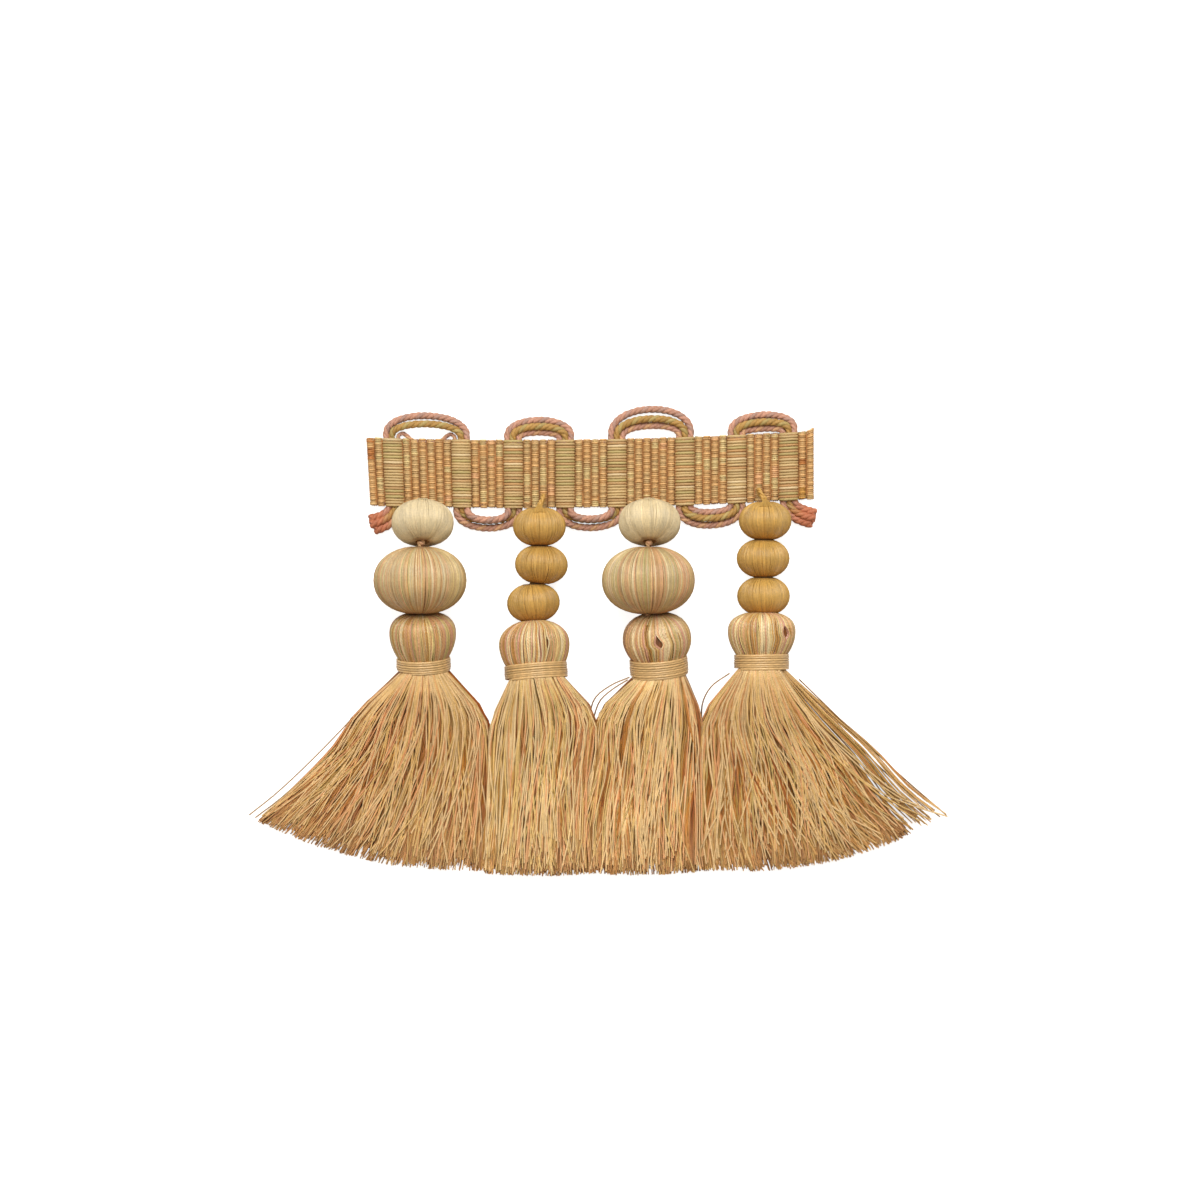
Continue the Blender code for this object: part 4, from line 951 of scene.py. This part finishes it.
def makeHank(tassel):
    # the imported inside of the skirt: a grid drawn through the same points, closed below; its colour is painted shade,
    # the warm dark between the strands
    columns, rows = skirtSetup["hankColumns"], skirtSetup["hankRows"]
    sideways = np.linspace(0.03, 0.97, columns) * tassel["packed"][1]
    controls = skirtControls(tassel, sideways, skirtSetup["hankLevels"], skirtSetup["hankRoot"],
                             skirtSetup["hankInset"])
    surface = throughPoints(controls, np.linspace(0, 0.95, rows)[None])
    hank = drawnGrid("hank", surface.transpose(1, 0, 2), columns, rows, 1 * mm, 0.3 * mm)
    return finishCore(hank, skirtSetup["hankPaintedShade"])


def makeSkirt(tassel):
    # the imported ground, the wisps that lie over it, the single strays on top, and the loose wisps beside it
    spread, each = tassel["spread"], skirtSetup["each"]
    ground, wisps = int(skirtSetup["ground"] * spread), int(skirtSetup["wisps"] * spread)
    strays = int(skirtSetup["strays"] * spread)
    firstShare, lastShare = tassel["packed"]
    loosened = skirtSetup["loose"] if lastShare < 1 else 0
    inWisp = np.concatenate([np.full(ground, -1), np.repeat(np.arange(wisps), each), np.full(strays + loosened, -1)])
    count = len(inWisp)
    bound, loose = inWisp >= 0, np.arange(count) >= count - loosened
    stray = (np.arange(count) >= count - strays - loosened) & ~loose
    wispAt = mix(0.0, lastShare, dice.random(wisps))
    wispLevel = dice.uniform(0.84, 1.0, wisps)
    sideways = np.where(bound, wispAt[inWisp], mix(firstShare, lastShare, dice.random(count)))
    sideways = np.where(loose, mix(lastShare - 0.02, 1.0, dice.random(count)), sideways)
    sideways = np.clip(sideways + dice.normal(0, skirtSetup["scatter"], count) * ~loose, 0.0, 1.0)
    level = np.where(bound, wispLevel[inWisp] + dice.normal(0, 0.03, count), 0.72 + 0.2 * dice.random(count))
    level = np.where(stray, dice.uniform(1.0, 1.05, count), np.clip(level, 0.0, 1.02))
    # part of the ground covers the skirt's two sides down to the floor
    sidelong = ~bound & ~stray & ~loose & (dice.random(count) < skirtSetup["sidelong"])
    fringe = 0.03 * dice.random(count)
    sideways = np.where(sidelong, np.where(dice.random(count) < 0.5, fringe, lastShare - fringe), sideways)
    level = np.where(sidelong, dice.uniform(0.03, 0.95, count), level)
    wispDrift = dice.normal(0, skirtSetup["wispDrift"] / spread, (wisps, len(tassel["skirt"])))
    tilt = np.where(stray, dice.normal(0, skirtSetup["strayTilt"] / spread, count),
                    dice.normal(0, skirtSetup["tilt"], count))
    # a loose strand is drawn to the nearest loose wisp on its way down
    looseAt = np.linspace(lastShare, 0.995, skirtSetup["looseWisps"])
    drawnTo = looseAt[np.abs(sideways[:, None] - looseAt).argmin(axis=1)] + dice.normal(0, 0.003, count)
    shifts = []
    for number in range(len(tassel["skirt"])):
        down = (number + 1) / len(tassel["skirt"])
        shift = np.where(bound, wispDrift[inWisp, number], 0) + tilt * down ** 1.5
        shift = shift * np.sin(math.pi * np.clip(sideways, 0, 1)) ** 0.3
        shifts.append(np.where(loose, (drawnTo - sideways) * down ** 0.7, shift))
    # part of the ground dives to the floor towards its tips
    dive = (~bound & ~stray & (dice.random(count) < skirtSetup["diving"])) * dice.uniform(0.3, 1.0, count)
    stages = len(tassel["skirt"])
    levels = [level * (1 - dive * ((number + 1) / stages) ** 3) for number in range(stages)]
    jitter = np.where(loose, skirtSetup["looseJitter"], skirtSetup["jitter"])
    controls = skirtControls(tassel, sideways, levels, level, skirtSetup["inset"], shifts, jitter)
    wispShort = dice.random(wisps) ** 2
    short = skirtSetup["shortWisp"] * np.where(bound, wispShort[inWisp], dice.random(count) ** 2)
    short = short + skirtSetup["shortStrand"] * dice.random(count) ** 2
    short = np.where(stray | loose, short + skirtSetup["shortStray"] * dice.random(count) ** 2, short)
    steps = skirtSetup["steps"]
    shares = np.linspace(0, 1, steps)[None] * (0.99 - short)[:, None]
    path = throughPoints(controls, shares)
    swing = np.where(stray, skirtSetup["straySwing"], np.where(loose, skirtSetup["looseSwing"], skirtSetup["swing"]))
    swing = swing[:, None] * dice.normal(0, 1, (count, 1)) * mm
    wave = np.sin(shares * dice.uniform(4, 12, (count, 1)) + dice.uniform(0, 6.3, (count, 1)))
    path[..., 0] += wave * shares ** 1.4 * swing
    girths = np.where(stray, dice.uniform(*skirtSetup["strayGirth"], count), dice.uniform(*skirtSetup["girth"], count))
    girths = girths[:, None] * mm * np.minimum(1, 1.9 - shares * 1.1)
    path[..., 2] = np.maximum(path[..., 2], girths + 0.02 * mm)
    names = skirtSetup["names"]
    table = np.array([yarnShades[name] for name in names])
    family = pickFamily(names, skirtSetup["wispWeights"], wisps)
    own = pickFamily(names, skirtSetup["groundWeights"], count)
    picks = np.where(bound & (dice.random(count) < skirtSetup["familyShare"]), family[inWisp], own)
    picks = np.where(stray | loose, pickFamily(names, skirtSetup["strayWeights"], count), picks)
    # painted light and shade by layer: the ground underneath is painted darker and more orange as if in shade, the
    # wisps less so, and the strays on top paler as if lit
    raised = (bound | stray | loose)[:, None]
    layerLighting = np.where(raised, np.array(skirtSetup["wispPartShadowed"]), np.array(skirtSetup["groundShadowed"]))
    layerLighting = np.where(stray[:, None], np.array(skirtSetup["strayLit"]), layerLighting)
    wispTone = dice.uniform(0.72, 1.1, wisps)
    colours = table[picks] * dice.uniform(0.86, 1.04, (count, 1)) * layerLighting
    colours = colours * np.where(bound, wispTone[inWisp], 1)[:, None] * tassel["dye"]
    # painted highlight: the strands on top are painted paler where they come out from under the binding, the end
    # towards the lamp
    pale = skirtSetup["rootHighlight"] * np.clip(1 - shares / skirtSetup["rootReach"], 0, 1)[..., None] * raised[..., None]
    colours = mix(colours[:, None], np.array(skirtSetup["palest"]), pale)
    # the yarn is also paler at its cut ends
    cut = np.clip((np.linspace(0, 1, steps) - 0.8) / skirtSetup["tipReach"], 0, 1)[None, :, None]
    colours = mix(colours, np.array(skirtSetup["palest"]), skirtSetup["tipPale"] * cut)
    batches = [(path, girths, colours)]
    for flyaway in tassel["flyaways"]:
        lone = throughPoints(np.array(flyaway)[None] * mm, np.linspace(0, 1, steps)[None])
        batches.append((lone, skirtSetup["flyawayGirth"] * mm, np.array(yarnShades["tan"]) * 0.6))
    strands = spinYarns("skirtStrands", batches, 3, "skirtYarn")
    skirt = joinPieces(tassel["name"] + "Skirt", [strands, makeHank(tassel)])
    finishPiece(skirt, tassel["name"] + "_head_and_skirt")


def makeBinding(tassel):
    head, binding = tassel["head"], tassel["binding"]
    matrix = headFrame(tassel)
    pitch, girth = bindingSetup["pitch"], bindingSetup["girth"]
    turns = (binding["height"] - 2 * girth) / pitch
    angle = np.linspace(0, 2 * math.pi * turns, int(turns * 26))
    crown = 0.12 * np.sin(np.linspace(0, math.pi, len(angle)))
    radius = binding["radius"] - girth - 0.14 + crown + 0.03 * np.sin(angle * 0.37)
    height = -head["bottom"] - 0.3 - girth - pitch * angle / (2 * math.pi) + 0.05 * np.sin(angle * 0.21)
    path = roundAxis(radius, angle, height) * mm
    tint = np.array(yarnShades["wheat"]) * bindingSetup["dye"] * (1 + 0.12 * np.sin(angle * 0.53))[:, None]
    wrap = spinYarns(tassel["name"] + "Binding", [(placeAll(matrix, path)[None], girth * mm, tint[None])], 6,
                     "bindingThread")
    finishPiece(wrap, tassel["name"] + "_binding")


def stitchPlace(tassel):
    middles = [rib["left"] + rib["width"] / 2 for rib in ribs if not rib["wide"]]
    nearest = min(middles, key=lambda middle: abs(middle - tassel["hole"][0] * mm))
    return onTape(nearest, tassel["hole"][1] * mm)


def makeHanger(tassel):
    # the string from its stitch hole, over the heading and through the beads into the head
    x, y = stitchPlace(tassel)
    points = [(x, y, 0.5 * mm), (x, y, heading["narrowCrest"])]
    inBeads = []
    for beadName, kindName, at, tilt, lean in tassel["beads"]:
        matrix = axisFrame(at, tilt, lean)
        for end in (1, -1):
            inBeads.append(tuple(matrix @ Vector((0, end * beadKinds[kindName]["half"] * mm, 0))))
    firstTop = np.array(inBeads[0])
    start = np.array(points[1])
    rise = np.array((x, y, firstTop[2]))
    for share in (0.4, 0.7, 0.88):
        points.append(tuple(mix(mix(start, rise, share), mix(rise, firstTop, share), share)))
    points += inBeads
    points.append(tuple(headFrame(tassel) @ Vector((0, (tassel["head"]["top"] - 2.4) * mm, 0))))
    path = throughPoints(np.array(points)[None], np.linspace(0, 1, hangerSetup["steps"])[None])[0]
    hanger = hangers[tassel["beads"][0][1]]
    girths = np.full(len(path), hanger["girth"] * mm)
    laid, plyGirths = layPlies(path, girths, 2, hangerSetup["turn"], hangerSetup["seat"], hangerSetup["fat"])
    colours = [np.array(yarnShades[name]) * hangerSetup["dye"] for name in hanger["plies"]]
    batches = [(laid[ply:ply + 1], plyGirths[ply:ply + 1], colours[ply]) for ply in range(2)]
    # a tuft of bead thread is caught in the stitch and spreads over the first bead
    kind = beadKinds[tassel["beads"][0][1]]
    matrix = axisFrame(*tassel["beads"][0][2:])
    count = hanger["tuftThreads"]
    across = np.linspace(-1, 1, count) + dice.normal(0, 0.06, count)
    crown = start[2] + 0.7 * mm + 0.2 * mm * (1 - across ** 2)
    controls = [np.stack([x + 0.12 * across * mm, y - 0.3 * mm + 0 * across, start[2] - 0.2 * mm + 0 * across], axis=1),
                np.stack([x + 0.3 * across * mm, y - 0.9 * mm + 0 * across, crown], axis=1)]
    for down, width in ((0.97, 0.55), (0.86, 1.0), (0.7, 1.25)):
        power = 2 / kind["fullness"]
        swell = (kind["radius"] + 0.02) * (1 - down ** kind["fullness"]) ** (1 / kind["fullness"])
        angle = math.pi / 2 - across * width * hanger["tuftWidth"] / max(swell, 1.5)
        local = roundAxis(swell, angle, (kind["half"] + 0.2) * down)
        controls.append(placeAll(matrix, local * mm))
    steps = hangerSetup["tuftSteps"]
    tuftPath = throughPoints(np.stack(controls, axis=1), np.linspace(0, 1, steps)[None])
    tuftColours = pickShades(kind["names"], kind["weights"], count, 2, kind["dye"])
    tuftGirths = kind["girth"] * mm * np.linspace(1.1, 0.7, steps)[None]
    batches.append((tuftPath, np.broadcast_to(tuftGirths, (count, steps)), tuftColours * hangerSetup["tuftDye"]))
    string = spinYarns(tassel["name"] + "String", batches, 6, "hangerYarn")
    finishPiece(string, tassel["name"] + "_string")


for tassel in tassels:
    makeHanger(tassel)
    for row in tassel["beads"]:
        makeBead(tassel, row)
    makeHead(tassel)
    makeBinding(tassel)
    makeSkirt(tassel)
    print(tassel["name"], "made")


meshes = [obj.data for obj in bpy.context.scene.objects if obj.type == "MESH" and "yarnColour" in obj.data.attributes]
print("triangles in all:", sum(len(face.vertices) - 2 for mesh in meshes for face in mesh.polygons))
